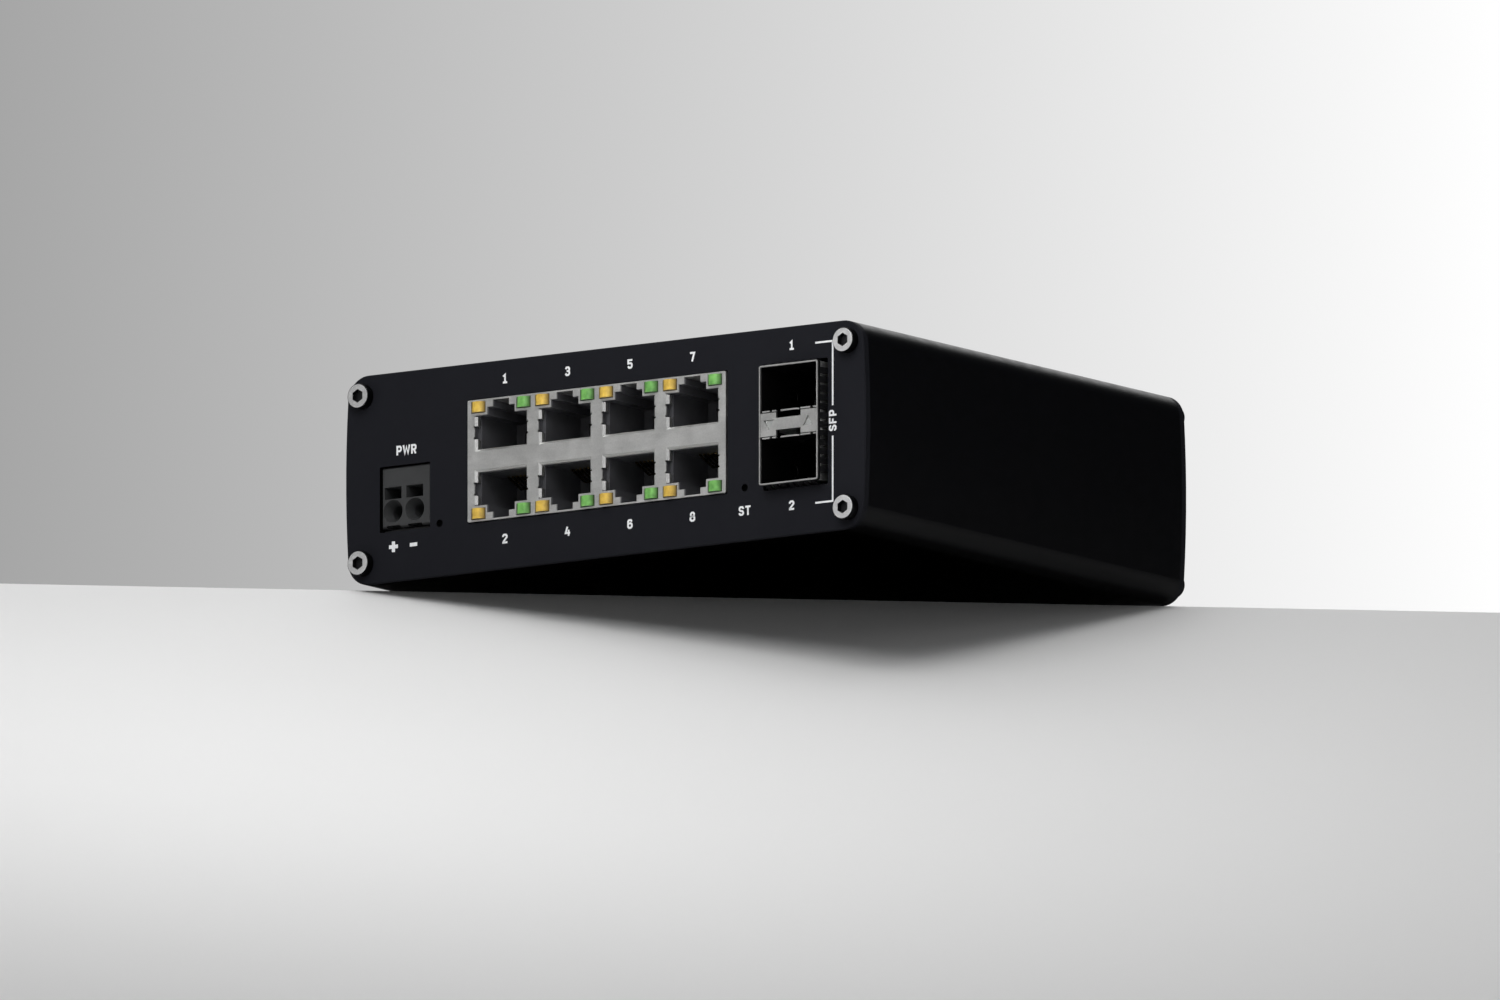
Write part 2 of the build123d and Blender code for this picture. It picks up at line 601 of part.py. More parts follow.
def sfp_cage():
    """Folded cage with two channels, one above the other, and a closed back."""
    half = CAGE_W / 2 - CAGE_T
    high = CAGE_H / 2 - CAGE_T
    section = cage_section(0) - cage_section(CAGE_T)
    for row in ROWS:
        sheet = sorted((row * (DIVIDER_H / 2 - CAGE_T), row * DIVIDER_H / 2))
        section += rect(-half - CAGE_T / 2, half + CAGE_T / 2, *sheet)
    place = Pos(CAGE_X, CAGE_MID)
    cage = run_back(place * section, CAGE_FACE, CAGE_BACK)
    cage += run_back(place * cage_section(0), CAGE_BACK - CAGE_T, CAGE_BACK)
    slot_half = LATCH_W / 2 + LATCH_GAP
    for row in ROWS:
        sheet = span(CAGE_MID + row * LATCH_Z, 2 * CAGE_T)
        cage -= block(CAGE_X - slot_half, CAGE_X + slot_half, CAGE_FACE - PAST,
                      CAGE_FACE + LATCH_LENGTH + LATCH_GAP, *sheet)
        for x0, x1 in SHEET_NICKS:
            cage -= block(CAGE_X + x0, CAGE_X + x1, CAGE_FACE - PAST, CAGE_FACE + SHEET_NICK_DEPTH, *sheet)
        z = CAGE_MID + row * (CAGE_H / 2 + DIVIDER_H / 2) / 2
        for i in range(VENT_COUNT):
            y = CASE_FRONT + VENT_START + VENT_PITCH * i
            cage -= Pos(CAGE_X, y, z) * Rot(0, 90, 0) * Cylinder(VENT_R, 2 * CAGE_W)
    return cage


def mark_section(side, grow=0.0):
    """Triangular window: the left one points down, the right one up."""
    radius = MARK_SIDE / 3 ** 0.5 + grow
    corners = [90 * side + 120 * i for i in range(3)]
    centring = side * MARK_SIDE / 10
    points = [(radius * cos(radians(a)), radius * sin(radians(a)) - centring) for a in corners]
    return Pos(side * MARK_X, 0) * make_face(Polyline(*points, close=True))


def sfp_divider():
    """Front plate between the channels, notched for the latch tips."""
    half = CAGE_W / 2 - CAGE_T - FIT
    high = DIVIDER_H / 2 - CAGE_T - DIVIDER_GAP
    section = rect(-half, half, -high, high)
    notch = LATCH_W / 2 + LATCH_GAP
    for row in ROWS:
        section -= rect(-notch, notch, *sorted((row * (DIVIDER_H / 2 - LATCH_DROP), row * DIVIDER_H)))
    for side in (-1, 1):
        section -= mark_section(side, FIT)
    return run_back(Pos(CAGE_X, CAGE_MID) * section, CAGE_FACE + FIT, CAGE_FACE + DIVIDER_T)


def sfp_light_pipes():
    """Triangular light pipes through the divider, running back in the gap."""
    place = Pos(CAGE_X, CAGE_MID)
    y0 = CAGE_FACE + FIT + MARK_RECESS
    y1 = CAGE_BACK - SLOT_BODY_L / 2
    return group([run_back(place * mark_section(side), y0, y1) for side in (-1, 1)])


def sfp_latch(row):
    """Sprung tongue in a channel sheet, with the catch hole for a module."""
    z = CAGE_MID + row * LATCH_Z
    half = LATCH_W / 2
    y0 = CAGE_FACE + FIT
    y1 = CAGE_FACE + LATCH_LENGTH
    tongue = block(CAGE_X - half, CAGE_X + half, y0, y1, z - CAGE_T / 2, z + CAGE_T / 2)
    tongue = chamfer(tongue.edges().filter_by(Axis.Z).sort_by(Axis.Y)[:2], LATCH_CHAMFER)
    tip = y0 + CATCH_START - CATCH_L / 2
    base = tip + CATCH_L
    catch = make_face(Polyline((-CATCH_W / 2, base), (CATCH_W / 2, base), (0, tip), close=True))
    return tongue - extrude(Pos(CAGE_X, 0, z) * catch, CAGE_T, both=True)


def gasket_finger():
    """One bowed spring finger, lying on the face X = 0."""
    y0 = CAGE_FACE + GASKET_BAND
    y1 = y0 + FINGER_LENGTH
    mid = y0 + FINGER_LENGTH / 2
    crest = CAGE_OPENING_GAP - FIT
    section = make_face([
        Line((0, y0), (GASKET_T, y0)),
        ThreePointArc((GASKET_T, y0), (crest, mid), (GASKET_T, y1)),
        Line((GASKET_T, y1), (0, y1)),
        ThreePointArc((0, y1), (crest - GASKET_T, mid), (0, y0)),
    ])
    return extrude(section, FINGER_W / 2, both=True)


def sfp_gasket():
    """Spring-finger band round the cage, closing the gap to the panel."""
    band = Pos(CAGE_X, CAGE_MID) * (cage_section(-GASKET_T) - cage_section(-FIT / 2))
    gasket = run_back(band, CAGE_FACE + GASKET_SETBACK, CAGE_FACE + GASKET_BAND + BAND_OVERLAP)
    finger = gasket_finger()
    sides = [(0, CAGE_W / 2, CAGE_H), (180, CAGE_W / 2, CAGE_H),
             (-90, CAGE_H / 2, CAGE_W), (90, CAGE_H / 2, CAGE_W)]
    for angle, reach, span in sides:
        count = int((span - FINGER_W) / FINGER_PITCH)
        for i in range(count):
            along = (i - (count - 1) / 2) * FINGER_PITCH
            gasket += Pos(CAGE_X, 0, CAGE_MID) * Rot(0, angle, 0) * Pos(reach + FIT / 2, 0, along) * finger
    return gasket


SLOT_END = CAGE_BACK - CAGE_T - FIT


def slot_middle(row):
    """Height of the middle of a channel's edge connector."""
    return CAGE_MID + row * (DIVIDER_H / 2 + SLOT_BODY_UP + SLOT_BODY_H / 2)


def sfp_connectors():
    """Edge connector at the back of each channel."""
    bodies = []
    floor = SLOT_END - SLOT_BODY_L + SLOT_DEPTH
    for row in ROWS:
        middle = slot_middle(row)
        body = block(*span(CAGE_X, SLOT_BODY_W), SLOT_END - SLOT_BODY_L, SLOT_END, *span(middle, SLOT_BODY_H))
        body -= block(*span(CAGE_X, SLOT_W), SLOT_END - SLOT_BODY_L - PAST, floor, *span(middle, SLOT_H))
        bodies.append(body)
    return group(bodies)


def sfp_contacts():
    """A row of contacts above and below each connector slot."""
    contacts = []
    floor = SLOT_END - SLOT_BODY_L + SLOT_DEPTH
    for row in ROWS:
        for face in (-1, 1):
            z = slot_middle(row) + face * (SLOT_H - SLOT_CONTACT_T) / 2
            for i in range(SLOT_CONTACTS):
                x = CAGE_X + (i - (SLOT_CONTACTS - 1) / 2) * SLOT_CONTACT_PITCH
                contacts.append(block(*span(x, SLOT_CONTACT_W), floor - SLOT_CONTACT_L, floor,
                                      *span(z, SLOT_CONTACT_T)))
    return group(contacts)


# ---------------------------------------------------------------- power terminal
def terminal_header():
    """Open-fronted header on the board; the plug slides into it."""
    inner = PLUG_W + 2 * PLUG_GAP
    outer = inner + 2 * HEADER_WALL
    y0 = CASE_FRONT + HEADER_SETBACK
    low = PLUG_BOTTOM - PLUG_GAP
    high = PLUG_TOP + PLUG_GAP
    header = block(*span(PLUG_X, outer), y0, HEADER_BACK + HEADER_WALL, BOARD_TOP, high + HEADER_WALL)
    header -= block(*span(PLUG_X, inner), y0 - PAST, HEADER_BACK, low, high)
    for x in ENTRY_X:
        header -= block(*span(x, PIN_SIZE), HEADER_BACK - PAST, HEADER_BACK + HEADER_WALL + PAST,
                        *span(ENTRY_Z, PIN_SIZE))
    return header


def terminal_pins():
    """Two bent pins through the back of the header, down to the board."""
    tail = HEADER_BACK + HEADER_WALL + PIN_TAIL_GAP
    pins = []
    for x in ENTRY_X:
        pin = block(*span(x, PIN_SIZE), HEADER_BACK - PIN_LENGTH, tail + PIN_SIZE, *span(ENTRY_Z, PIN_SIZE))
        pin = chamfer(pin.faces().sort_by(Axis.Y)[0].edges(), PIN_CHAMFER)
        pin += block(*span(x, PIN_SIZE), tail, tail + PIN_SIZE, BOARD_TOP, ENTRY_Z)
        pins.append(pin)
    return group(pins)


def plug_body():
    """Push-in plug: two wire entries, each under a release slot."""
    body = block(*span(PLUG_X, PLUG_W), PLUG_FACE, PLUG_BACK, PLUG_BOTTOM, PLUG_TOP)
    body = chamfer(body.faces().sort_by(Axis.Y)[0].edges(), PLUG_CHAMFER)
    chamber = PLUG_FACE + CHAMBER_START
    for x in ENTRY_X:
        funnel = Cone(ENTRY_BORE_R, ENTRY_MOUTH_R, FUNNEL_DEPTH)
        body -= Pos(x, PLUG_FACE + FUNNEL_DEPTH / 2, ENTRY_Z) * Rot(90, 0, 0) * funnel
        body -= rod(x, ENTRY_Z, ENTRY_BORE_R, PLUG_FACE, chamber + PAST)
        body -= block(*span(x, CHAMBER_W), chamber, PLUG_BACK + PAST,
                      PLUG_BOTTOM + CHAMBER_FLOOR, PLUG_TOP - CHAMBER_ROOF)
        body -= block(*span(x, RELEASE_W), PLUG_FACE - PAST, chamber + PAST, *span(RELEASE_Z, RELEASE_H))
        body -= block(*span(x, GRIP_W), PLUG_FACE - PAST, PLUG_FACE + GRIP_DEPTH,
                      PLUG_BOTTOM - PAST, PLUG_BOTTOM + GRIP_H)
    return body


def plug_contacts():
    """Current bar and pin socket of each pole."""
    contacts = []
    start = PLUG_FACE + TULIP_START
    for x in ENTRY_X:
        bar = block(*span(x, TONGUE_W), PLUG_FACE + CHAMBER_START + BAR_START_GAP, start + BAR_T,
                    BAR_LOW, BAR_TOP)
        tulip = block(*span(x, TULIP_W), start, PLUG_BACK - TULIP_END_GAP, BAR_LOW, ENTRY_Z + TULIP_W / 2)
        hole = PIN_SIZE + 2 * FIT
        tulip -= block(*span(x, hole), start - PAST, PLUG_BACK, *span(ENTRY_Z, hole))
        contacts.append(bar + tulip)
    return group(contacts)


def cross_rod(x, radius, length):
    """Cylinder along X on the pivot axis of the clamp tongues."""
    return Pos(x, PIVOT_Y, PIVOT_Z) * Rot(0, 90, 0) * Cylinder(radius, length)


def clamp_pins():
    """Cross pin that carries each clamp tongue in the plug."""
    return group([cross_rod(x, PIVOT_R, CHAMBER_W) for x in ENTRY_X])


def clamp_tongue(x):
    """Sprung tongue: an eye on the cross pin and a leaf down to the bar."""
    tip_y, tip_z = TONGUE_TIP
    run = ((tip_y - PIVOT_Y) ** 2 + (tip_z - PIVOT_Z) ** 2) ** 0.5
    half = TONGUE_T / 2 / run
    across = ((tip_z - PIVOT_Z) * half, (PIVOT_Y - tip_y) * half)
    corners = [
        (PIVOT_Y + across[0], PIVOT_Z + across[1]),
        (tip_y + across[0], tip_z + across[1] + TIP_BEVEL),
        (tip_y - across[0], tip_z - across[1] + TIP_BEVEL),
        (PIVOT_Y - across[0], PIVOT_Z - across[1]),
    ]
    leaf = extrude(Plane.YZ * make_face(Polyline(*corners, close=True)), TONGUE_W / 2, both=True)
    tongue = cross_rod(x, PIVOT_R + EYE_WALL, TONGUE_W) + Pos(x, 0, 0) * leaf
    return tongue - cross_rod(x, PIVOT_R + FIT, CHAMBER_W)


# ---------------------------------------------------------------- lamps behind pinholes
def lamp_pipes():
    """Light pipes in the power and status pinholes."""
    pipes = []
    for x in (POWER_LAMP_X, STATUS_LAMP_X):
        pipes.append(rod(x, LAMP_HOLE_Z, LAMP_HOLE_R - FIT, FRONT + PIPE_SETBACK, BOARD_FRONT + LAMP_CHIP_GAP))
    return group(pipes)


def board_lamps():
    """Lamp chips on the board edge behind the two light pipes."""
    y0 = BOARD_FRONT + LAMP_CHIP_GAP
    return group([block(*span(x, LAMP_CHIP_W), y0, y0 + LAMP_CHIP_L, BOARD_TOP, BOARD_TOP + LAMP_CHIP_L)
                  for x in (POWER_LAMP_X, STATUS_LAMP_X)])


# ---------------------------------------------------------------- board components
def on_board(x, y, width, length, height, base=BOARD_TOP):
    """Box that stands on the board about a point."""
    return block(*span(x, width), *span(y, length), base, base + height)


def chip(place, size):
    """Moulded package with a bevelled top."""
    body = on_board(*place, *size)
    return chamfer(body.faces().sort_by(Axis.Z)[-1].edges(), CHIP_BEVEL)


def leads(place, width, pitch, count):
    """Leads along the two long sides of a chip."""
    x, y = place
    feet = []
    for i in range(count):
        step = (i - (count - 1) / 2) * pitch
        for side in (-1, 1):
            foot = x + side * (width + LEAD_L) / 2
            feet.append(on_board(foot, y + step, LEAD_L, pitch / 2, LEAD_T))
    return feet


def switch_chip():
    return chip(CHIP_AT, (CHIP_SIZE, CHIP_SIZE, CHIP_H))


def chip_leads():
    return group(leads(CHIP_AT, CHIP_SIZE, CHIP_LEAD_PITCH, CHIP_LEAD_COUNT)
                 + leads(FLASH_AT, FLASH_SIZE[0], SMALL_LEAD_PITCH, SMALL_LEAD_COUNT)
                 + leads(REGULATOR_AT, REGULATOR_SIZE[0], SMALL_LEAD_PITCH, SMALL_LEAD_COUNT))


def thermal_pad():
    side = CHIP_SIZE - 2 * PAD_MARGIN
    return on_board(*CHIP_AT, side, side, PAD_H, BOARD_TOP + CHIP_H)


def heatsink():
    """Finned block on the switch chip."""
    x, y = CHIP_AT
    low = BOARD_TOP + CHIP_H + PAD_H
    sink = on_board(x, y, SINK_SIZE, SINK_SIZE, SINK_H, low)
    pitch = (SINK_SIZE - SINK_FIN_T) / (SINK_FINS - 1)
    channel = pitch - SINK_FIN_T
    for i in range(SINK_FINS - 1):
        middle = x - SINK_SIZE / 2 + SINK_FIN_T + i * pitch + channel / 2
        sink -= on_board(middle, y, channel, SINK_SIZE + 2 * PAST, SINK_H, low + SINK_BASE)
    return sink


def power_inductor():
    body = on_board(*INDUCTOR_AT, INDUCTOR_SIZE, INDUCTOR_SIZE, INDUCTOR_H)
    return fillet(body.edges().filter_by(Axis.Z), INDUCTOR_ROUND)


def input_capacitors():
    """A row of upright electrolytic cans with a crimp groove."""
    cans = []
    y = INDUCTOR_AT[1] + CAPACITOR_FROM_INDUCTOR
    groove = Cylinder(CAPACITOR_R + PAST, GROOVE_H) - Cylinder(CAPACITOR_R - GROOVE_DEPTH, GROOVE_H)
    for i in range(CAPACITOR_COUNT):
        x = INDUCTOR_AT[0] + (i - 0.5) * CAPACITOR_PITCH
        can = Pos(x, y, BOARD_TOP + CAPACITOR_H / 2) * Cylinder(CAPACITOR_R, CAPACITOR_H)
        can = fillet(can.faces().sort_by(Axis.Z)[-1].edges(), CAPACITOR_ROUND)
        cans.append(can - Pos(x, y, BOARD_TOP + GROOVE_UP) * groove)
    return group(cans)


def surge_diode():
    return chip(DIODE_AT, DIODE_SIZE)


def regulator_chip():
    return chip(REGULATOR_AT, REGULATOR_SIZE)


def flash_chip():
    return chip(FLASH_AT, FLASH_SIZE)


def crystal():
    """Low metal can beside the switch chip."""
    can = on_board(*CRYSTAL_AT, *CRYSTAL_SIZE)
    return fillet(can.edges().filter_by(Axis.Z), CRYSTAL_ROUND)


def chip_capacitors():
    """Small ceramic capacitors round the switch chip and behind the cage."""
    x, y = CHIP_AT
    reach = CHIP_SIZE / 2 + CERAMIC_GAP
    row = [(i - (CERAMIC_ROW - 1) / 2) * CERAMIC_PITCH for i in range(CERAMIC_ROW)]
    places = [(x + step, y + side * reach) for step in row for side in (-1, 1)]
    row = [(i - (CAGE_CERAMIC_ROW - 1) / 2) * CAGE_CERAMIC_PITCH for i in range(CAGE_CERAMIC_ROW)]
    places += [(CAGE_X + step, CAGE_BACK + CAGE_CERAMIC_GAP) for step in row]
    return group([on_board(*place, *CERAMIC_SIZE) for place in places])


# ---------------------------------------------------------------- earth point
def ground_washer():
    """Toothed washer under the earth screw."""
    rim = GROUND_HEAD_R + WASHER_RIM
    ring = rod(GROUND_X, MID_Z, rim, BACK, BACK + WASHER_T)
    ring -= rod(GROUND_X, MID_Z, GROUND_R + FIT, BACK - PAST, BACK + WASHER_T + PAST)
    gap = Pos(rim, 0, 0) * Box(2 * WASHER_RIM, 4 * WASHER_T, TOOTH_GAP)
    for i in range(WASHER_TEETH):
        ring -= Pos(GROUND_X, BACK, MID_Z) * Rot(0, i * 360 / WASHER_TEETH, 0) * gap
    return ring


def ground_screw():
    """Cross-recessed pan-head screw."""
    under = BACK + WASHER_T
    top = under + GROUND_HEAD_H
    head = rod(GROUND_X, MID_Z, GROUND_HEAD_R, under, top)
    head = fillet(head.edges().filter_by(GeomType.CIRCLE).sort_by(Axis.Y)[-1], GROUND_HEAD_ROUND)
    screw = head + rod(GROUND_X, MID_Z, GROUND_R, CASE_BACK - NUT_H - PAST, under)
    slot = Pos(GROUND_X, top, MID_Z) * Box(RECESS_L, 2 * RECESS_DEPTH, RECESS_W)
    cross = Pos(GROUND_X, top, MID_Z) * Box(RECESS_W, 2 * RECESS_DEPTH, RECESS_L)
    return screw - slot - cross


def ground_nut():
    """Clinch nut behind the rear panel."""
    nut = rod(GROUND_X, MID_Z, NUT_R, CASE_BACK - NUT_H, CASE_BACK)
    nut = chamfer(nut.edges().filter_by(GeomType.CIRCLE).sort_by(Axis.Y)[0], NUT_CHAMFER)
    return nut - rod(GROUND_X, MID_Z, GROUND_R + FIT, CASE_BACK - NUT_H - PAST, CASE_BACK + PAST)


# ---------------------------------------------------------------- all pieces
def all_pieces():
    pieces = {
        "housing_shell": housing_shell(),
        "front_panel": front_panel(),
        "rear_panel": rear_panel(),
        "front_screws": group([panel_screw(x, z, FRONT, -1) for x, z in screw_places()]),
        "rear_screws": group([panel_screw(x, z, BACK, 1) for x, z in screw_places()]),
        "main_board": main_board(),
        "jack_shield": jack_shield(),
        "jack_contacts_upper": contact_wires(1),
        "jack_contacts_lower": contact_wires(-1),
        "port_lamps_amber": port_lamps(-1),
        "port_lamps_green": port_lamps(1),
        "sfp_cage": sfp_cage(),
        "sfp_divider": sfp_divider(),
        "sfp_light_pipes": sfp_light_pipes(),
        "sfp_gasket": sfp_gasket(),
        "sfp_latch_upper": sfp_latch(1),
        "sfp_latch_lower": sfp_latch(-1),
        "sfp_connectors": sfp_connectors(),
        "sfp_contacts": sfp_contacts(),
        "terminal_header": terminal_header(),
        "terminal_pins": terminal_pins(),
        "plug_body": plug_body(),
        "plug_contacts": plug_contacts(),
        "clamp_pins": clamp_pins(),
        "clamp_tongue_plus": clamp_tongue(ENTRY_X[0]),
        "clamp_tongue_minus": clamp_tongue(ENTRY_X[1]),
        "lamp_pipes": lamp_pipes(),
        "board_lamps": board_lamps(),
        "switch_chip": switch_chip(),
        "chip_leads": chip_leads(),
        "thermal_pad": thermal_pad(),
        "heatsink": heatsink(),
        "power_inductor": power_inductor(),
        "input_capacitors": input_capacitors(),
        "surge_diode": surge_diode(),
        "regulator_chip": regulator_chip(),
        "flash_chip": flash_chip(),
        "crystal": crystal(),
        "chip_capacitors": chip_capacitors(),
        "ground_screw": ground_screw(),
        "ground_washer": ground_washer(),
        "ground_nut": ground_nut(),
    }
    for column, x in enumerate(JACK_X, start=1):
        pieces[f"jack_core_{column}"] = jack_core(x)
    return pieces


os.makedirs("parts", exist_ok=True)
for name, shape in all_pieces().items():
    export_step(shape, f"parts/{name}.step")
    print(name, len(shape.solids()))
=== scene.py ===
import json
import math

import bmesh
import bpy
from mathutils import Matrix, Vector

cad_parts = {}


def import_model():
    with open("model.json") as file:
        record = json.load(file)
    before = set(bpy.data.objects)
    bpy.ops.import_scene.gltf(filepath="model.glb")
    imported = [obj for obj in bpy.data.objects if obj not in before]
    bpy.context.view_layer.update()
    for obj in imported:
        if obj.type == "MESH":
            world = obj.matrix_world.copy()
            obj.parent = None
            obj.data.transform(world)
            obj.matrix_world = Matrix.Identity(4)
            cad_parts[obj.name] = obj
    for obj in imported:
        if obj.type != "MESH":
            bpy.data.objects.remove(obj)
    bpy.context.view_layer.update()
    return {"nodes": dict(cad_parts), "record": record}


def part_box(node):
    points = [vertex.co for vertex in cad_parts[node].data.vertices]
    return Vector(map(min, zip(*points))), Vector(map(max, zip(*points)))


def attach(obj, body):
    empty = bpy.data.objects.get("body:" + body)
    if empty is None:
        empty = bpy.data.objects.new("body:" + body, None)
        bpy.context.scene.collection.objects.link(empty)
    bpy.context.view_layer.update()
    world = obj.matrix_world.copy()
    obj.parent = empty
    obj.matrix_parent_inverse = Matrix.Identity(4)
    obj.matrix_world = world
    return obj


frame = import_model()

MM = 0.001

# ---------------------------------------------------------------- places from the frame
PANEL_LOW, PANEL_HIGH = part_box("front_panel")
REAR_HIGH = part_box("rear_panel")[1]
SHIELD_LOW, SHIELD_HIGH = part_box("jack_shield")
CAGE_LOW, CAGE_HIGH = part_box("sfp_cage")
PLUG_LOW, PLUG_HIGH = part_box("plug_body")
SCREWS_LOW, SCREWS_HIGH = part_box("front_screws")
REAR_SCREWS_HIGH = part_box("rear_screws")[1]
HEAD_R = 2.65 * MM
FRONT_Y = PANEL_LOW.y
BACK_Y = REAR_HIGH.y
BASE_Z = PANEL_LOW.z
TOP_Z = PANEL_HIGH.z
MID_Z = (BASE_Z + TOP_Z) / 2
SCREW_X = SCREWS_HIGH.x - HEAD_R
SCREW_DZ = SCREWS_HIGH.z - HEAD_R - MID_Z


# ---------------------------------------------------------------- shader helpers
MIX_COLOUR_A = 6            # sockets of the mix node in colour mode
MIX_COLOUR_B = 7
MIX_COLOUR_OUT = 2
EVEN = (1.0, 1.0, 1.0)
NOISE_ROUGHNESS = 0.55
NOISE_LOW = 0.3             # most noise values lie between these two
NOISE_HIGH = 0.7


class Shader:
    """A principled material with short helpers for its texture nodes."""

    def __init__(self, name):
        self.material = bpy.data.materials.new(name)
        self.material.use_nodes = True
        self.tree = self.material.node_tree
        self.bsdf = self.tree.nodes["Principled BSDF"]

    def put(self, **values):
        """Set constant sockets on the shader itself."""
        for key, value in values.items():
            socket = self.bsdf.inputs[key.replace("_", " ")]
            if isinstance(value, tuple) and len(value) == 3:
                value = (*value, 1.0)
            socket.default_value = value
        return self

    def node(self, kind, **settings):
        node = self.tree.nodes.new(kind)
        for key, value in settings.items():
            if key in node.inputs:
                node.inputs[key].default_value = value
            else:
                setattr(node, key, value)
        return node

    def link(self, source, target):
        self.tree.links.new(source, target)

    def position(self, stretch=EVEN):
        """Object coordinates, which are the part's own frame in metres, scaled along each axis."""
        coords = self.node("ShaderNodeTexCoord")
        mapping = self.node("ShaderNodeMapping")
        mapping.inputs["Scale"].default_value = stretch
        self.link(coords.outputs["Object"], mapping.inputs["Vector"])
        return mapping.outputs["Vector"]

    def noise(self, size_mm, detail=3.0, stretch=EVEN):
        """Noise with features of about size_mm."""
        node = self.node("ShaderNodeTexNoise", Scale=1.0 / (size_mm * MM), Detail=detail,
                         Roughness=NOISE_ROUGHNESS)
        self.link(self.position(stretch), node.inputs["Vector"])
        return node.outputs["Fac"]

    def cells(self, size_mm):
        """Distance to the middle of cells of about size_mm."""
        node = self.node("ShaderNodeTexVoronoi", Scale=1.0 / (size_mm * MM))
        self.link(self.position(), node.inputs["Vector"])
        return node.outputs["Distance"]

    def ranged(self, value, low, high, start=NOISE_LOW, stop=NOISE_HIGH):
        """Remap a texture value, by default the usual span of noise, to the range low to high."""
        node = self.node("ShaderNodeMapRange")
        for name, number in (("From Min", start), ("From Max", stop), ("To Min", low), ("To Max", high)):
            node.inputs[name].default_value = number
        self.link(value, node.inputs["Value"])
        return node.outputs["Result"]

    def math(self, operation, first, second=None):
        """One arithmetic step; each operand is a number or a texture value."""
        node = self.node("ShaderNodeMath", operation=operation)
        for index, value in enumerate((first, second)):
            if value is None:
                continue
            if isinstance(value, (int, float)):
                node.inputs[index].default_value = value
            else:
                self.link(value, node.inputs[index])
        return node.outputs["Value"]

    def tint(self, value, dark, light):
        """Blend two colours by a texture value and send the result to Base Color."""
        self.link(self.blend(value, dark, light), self.bsdf.inputs["Base Color"])
        return self

    def blend(self, value, first, second):
        """Colour mix; each colour is a tuple or another mix."""
        mix = self.node("ShaderNodeMix", data_type="RGBA")
        self.link(value, mix.inputs["Factor"])
        for socket, colour in ((mix.inputs[MIX_COLOUR_A], first), (mix.inputs[MIX_COLOUR_B], second)):
            if isinstance(colour, tuple):
                socket.default_value = (*colour, 1.0)
            else:
                self.link(colour, socket)
        return mix.outputs[MIX_COLOUR_OUT]

    def axes(self):
        """Separate object coordinates."""
        coords = self.node("ShaderNodeTexCoord")
        split = self.node("ShaderNodeSeparateXYZ")
        self.link(coords.outputs["Object"], split.inputs["Vector"])
        return split.outputs

    def within(self, low, high):
        """One inside a box of the frame, nought outside."""
        axes = self.axes()
        mask = None
        for axis, start, stop in zip("XYZ", low, high):
            offset = self.math("ABSOLUTE", self.math("SUBTRACT", axes[axis], (start + stop) / 2))
            inside = self.math("LESS_THAN", offset, (stop - start) / 2)
            mask = inside if mask is None else self.math("MULTIPLY", mask, inside)
        return mask

    def rough(self, value, low, high):
        self.link(self.ranged(value, low, high), self.bsdf.inputs["Roughness"])
        return self

    def bump(self, *layers):
        """Stack bumps; each layer is a height value and its depth in millimetres."""
        normal = None
        for height, depth_mm in layers:
            node = self.node("ShaderNodeBump", Strength=1.0, Distance=depth_mm * MM)
            self.link(height, node.inputs["Height"])
            if normal is not None:
                self.link(normal, node.inputs["Normal"])
            normal = node.outputs["Normal"]
        self.link(normal, self.bsdf.inputs["Normal"])
        return self


# ---------------------------------------------------------------- materials
# dull near black painted shade for the inside of the module cage
PAINTED_SHADE_DARK = (0.003, 0.003, 0.003)
# near black painted shade for the walls of the panel's holes and cutouts
PAINTED_SHADE_BLACK = (0.0006, 0.0006, 0.0006)


def coated_metal(name, dark, light, roughness, specular, shade_box=None):
    """Matt black coating: fine grain, faint cloudiness, slightly polished rub marks.
    Inside the given box the walls of holes and cutouts are painted near black as painted shade."""
    shader = Shader(name)
    shader.put(Specular_IOR_Level=specular, Metallic=0.0)
    grain = shader.noise(0.22, 2.0)
    cloud = shader.noise(14.0, 4.0)
    coat = shader.blend(shader.ranged(cloud, 0.0, 1.0), dark, light)
    if shade_box:
        # painted shade: inside the box the coat turns near black
        coat = shader.blend(shader.within(*shade_box), coat, PAINTED_SHADE_BLACK)
    shader.link(coat, shader.bsdf.inputs["Base Color"])
    shader.rough(shader.noise(3.0, 4.0), roughness - 0.05, roughness + 0.06)
    shader.bump((grain, 0.012))
    return shader.material


FACE_R = 2.44 * MM          # bright machined face of each screw head
FACE_SKIN = 0.05 * MM
TURNING_PITCH = 0.16 * MM
SOCKET_R = 1.46 * MM        # corners of the hexagon socket
# near black steel painted as shade on the head's side and in the socket
SHADE_BLACK_STEEL = (0.012, 0.012, 0.013)
SOCKET_SHADE_STEEL = (0.045, 0.045, 0.047)


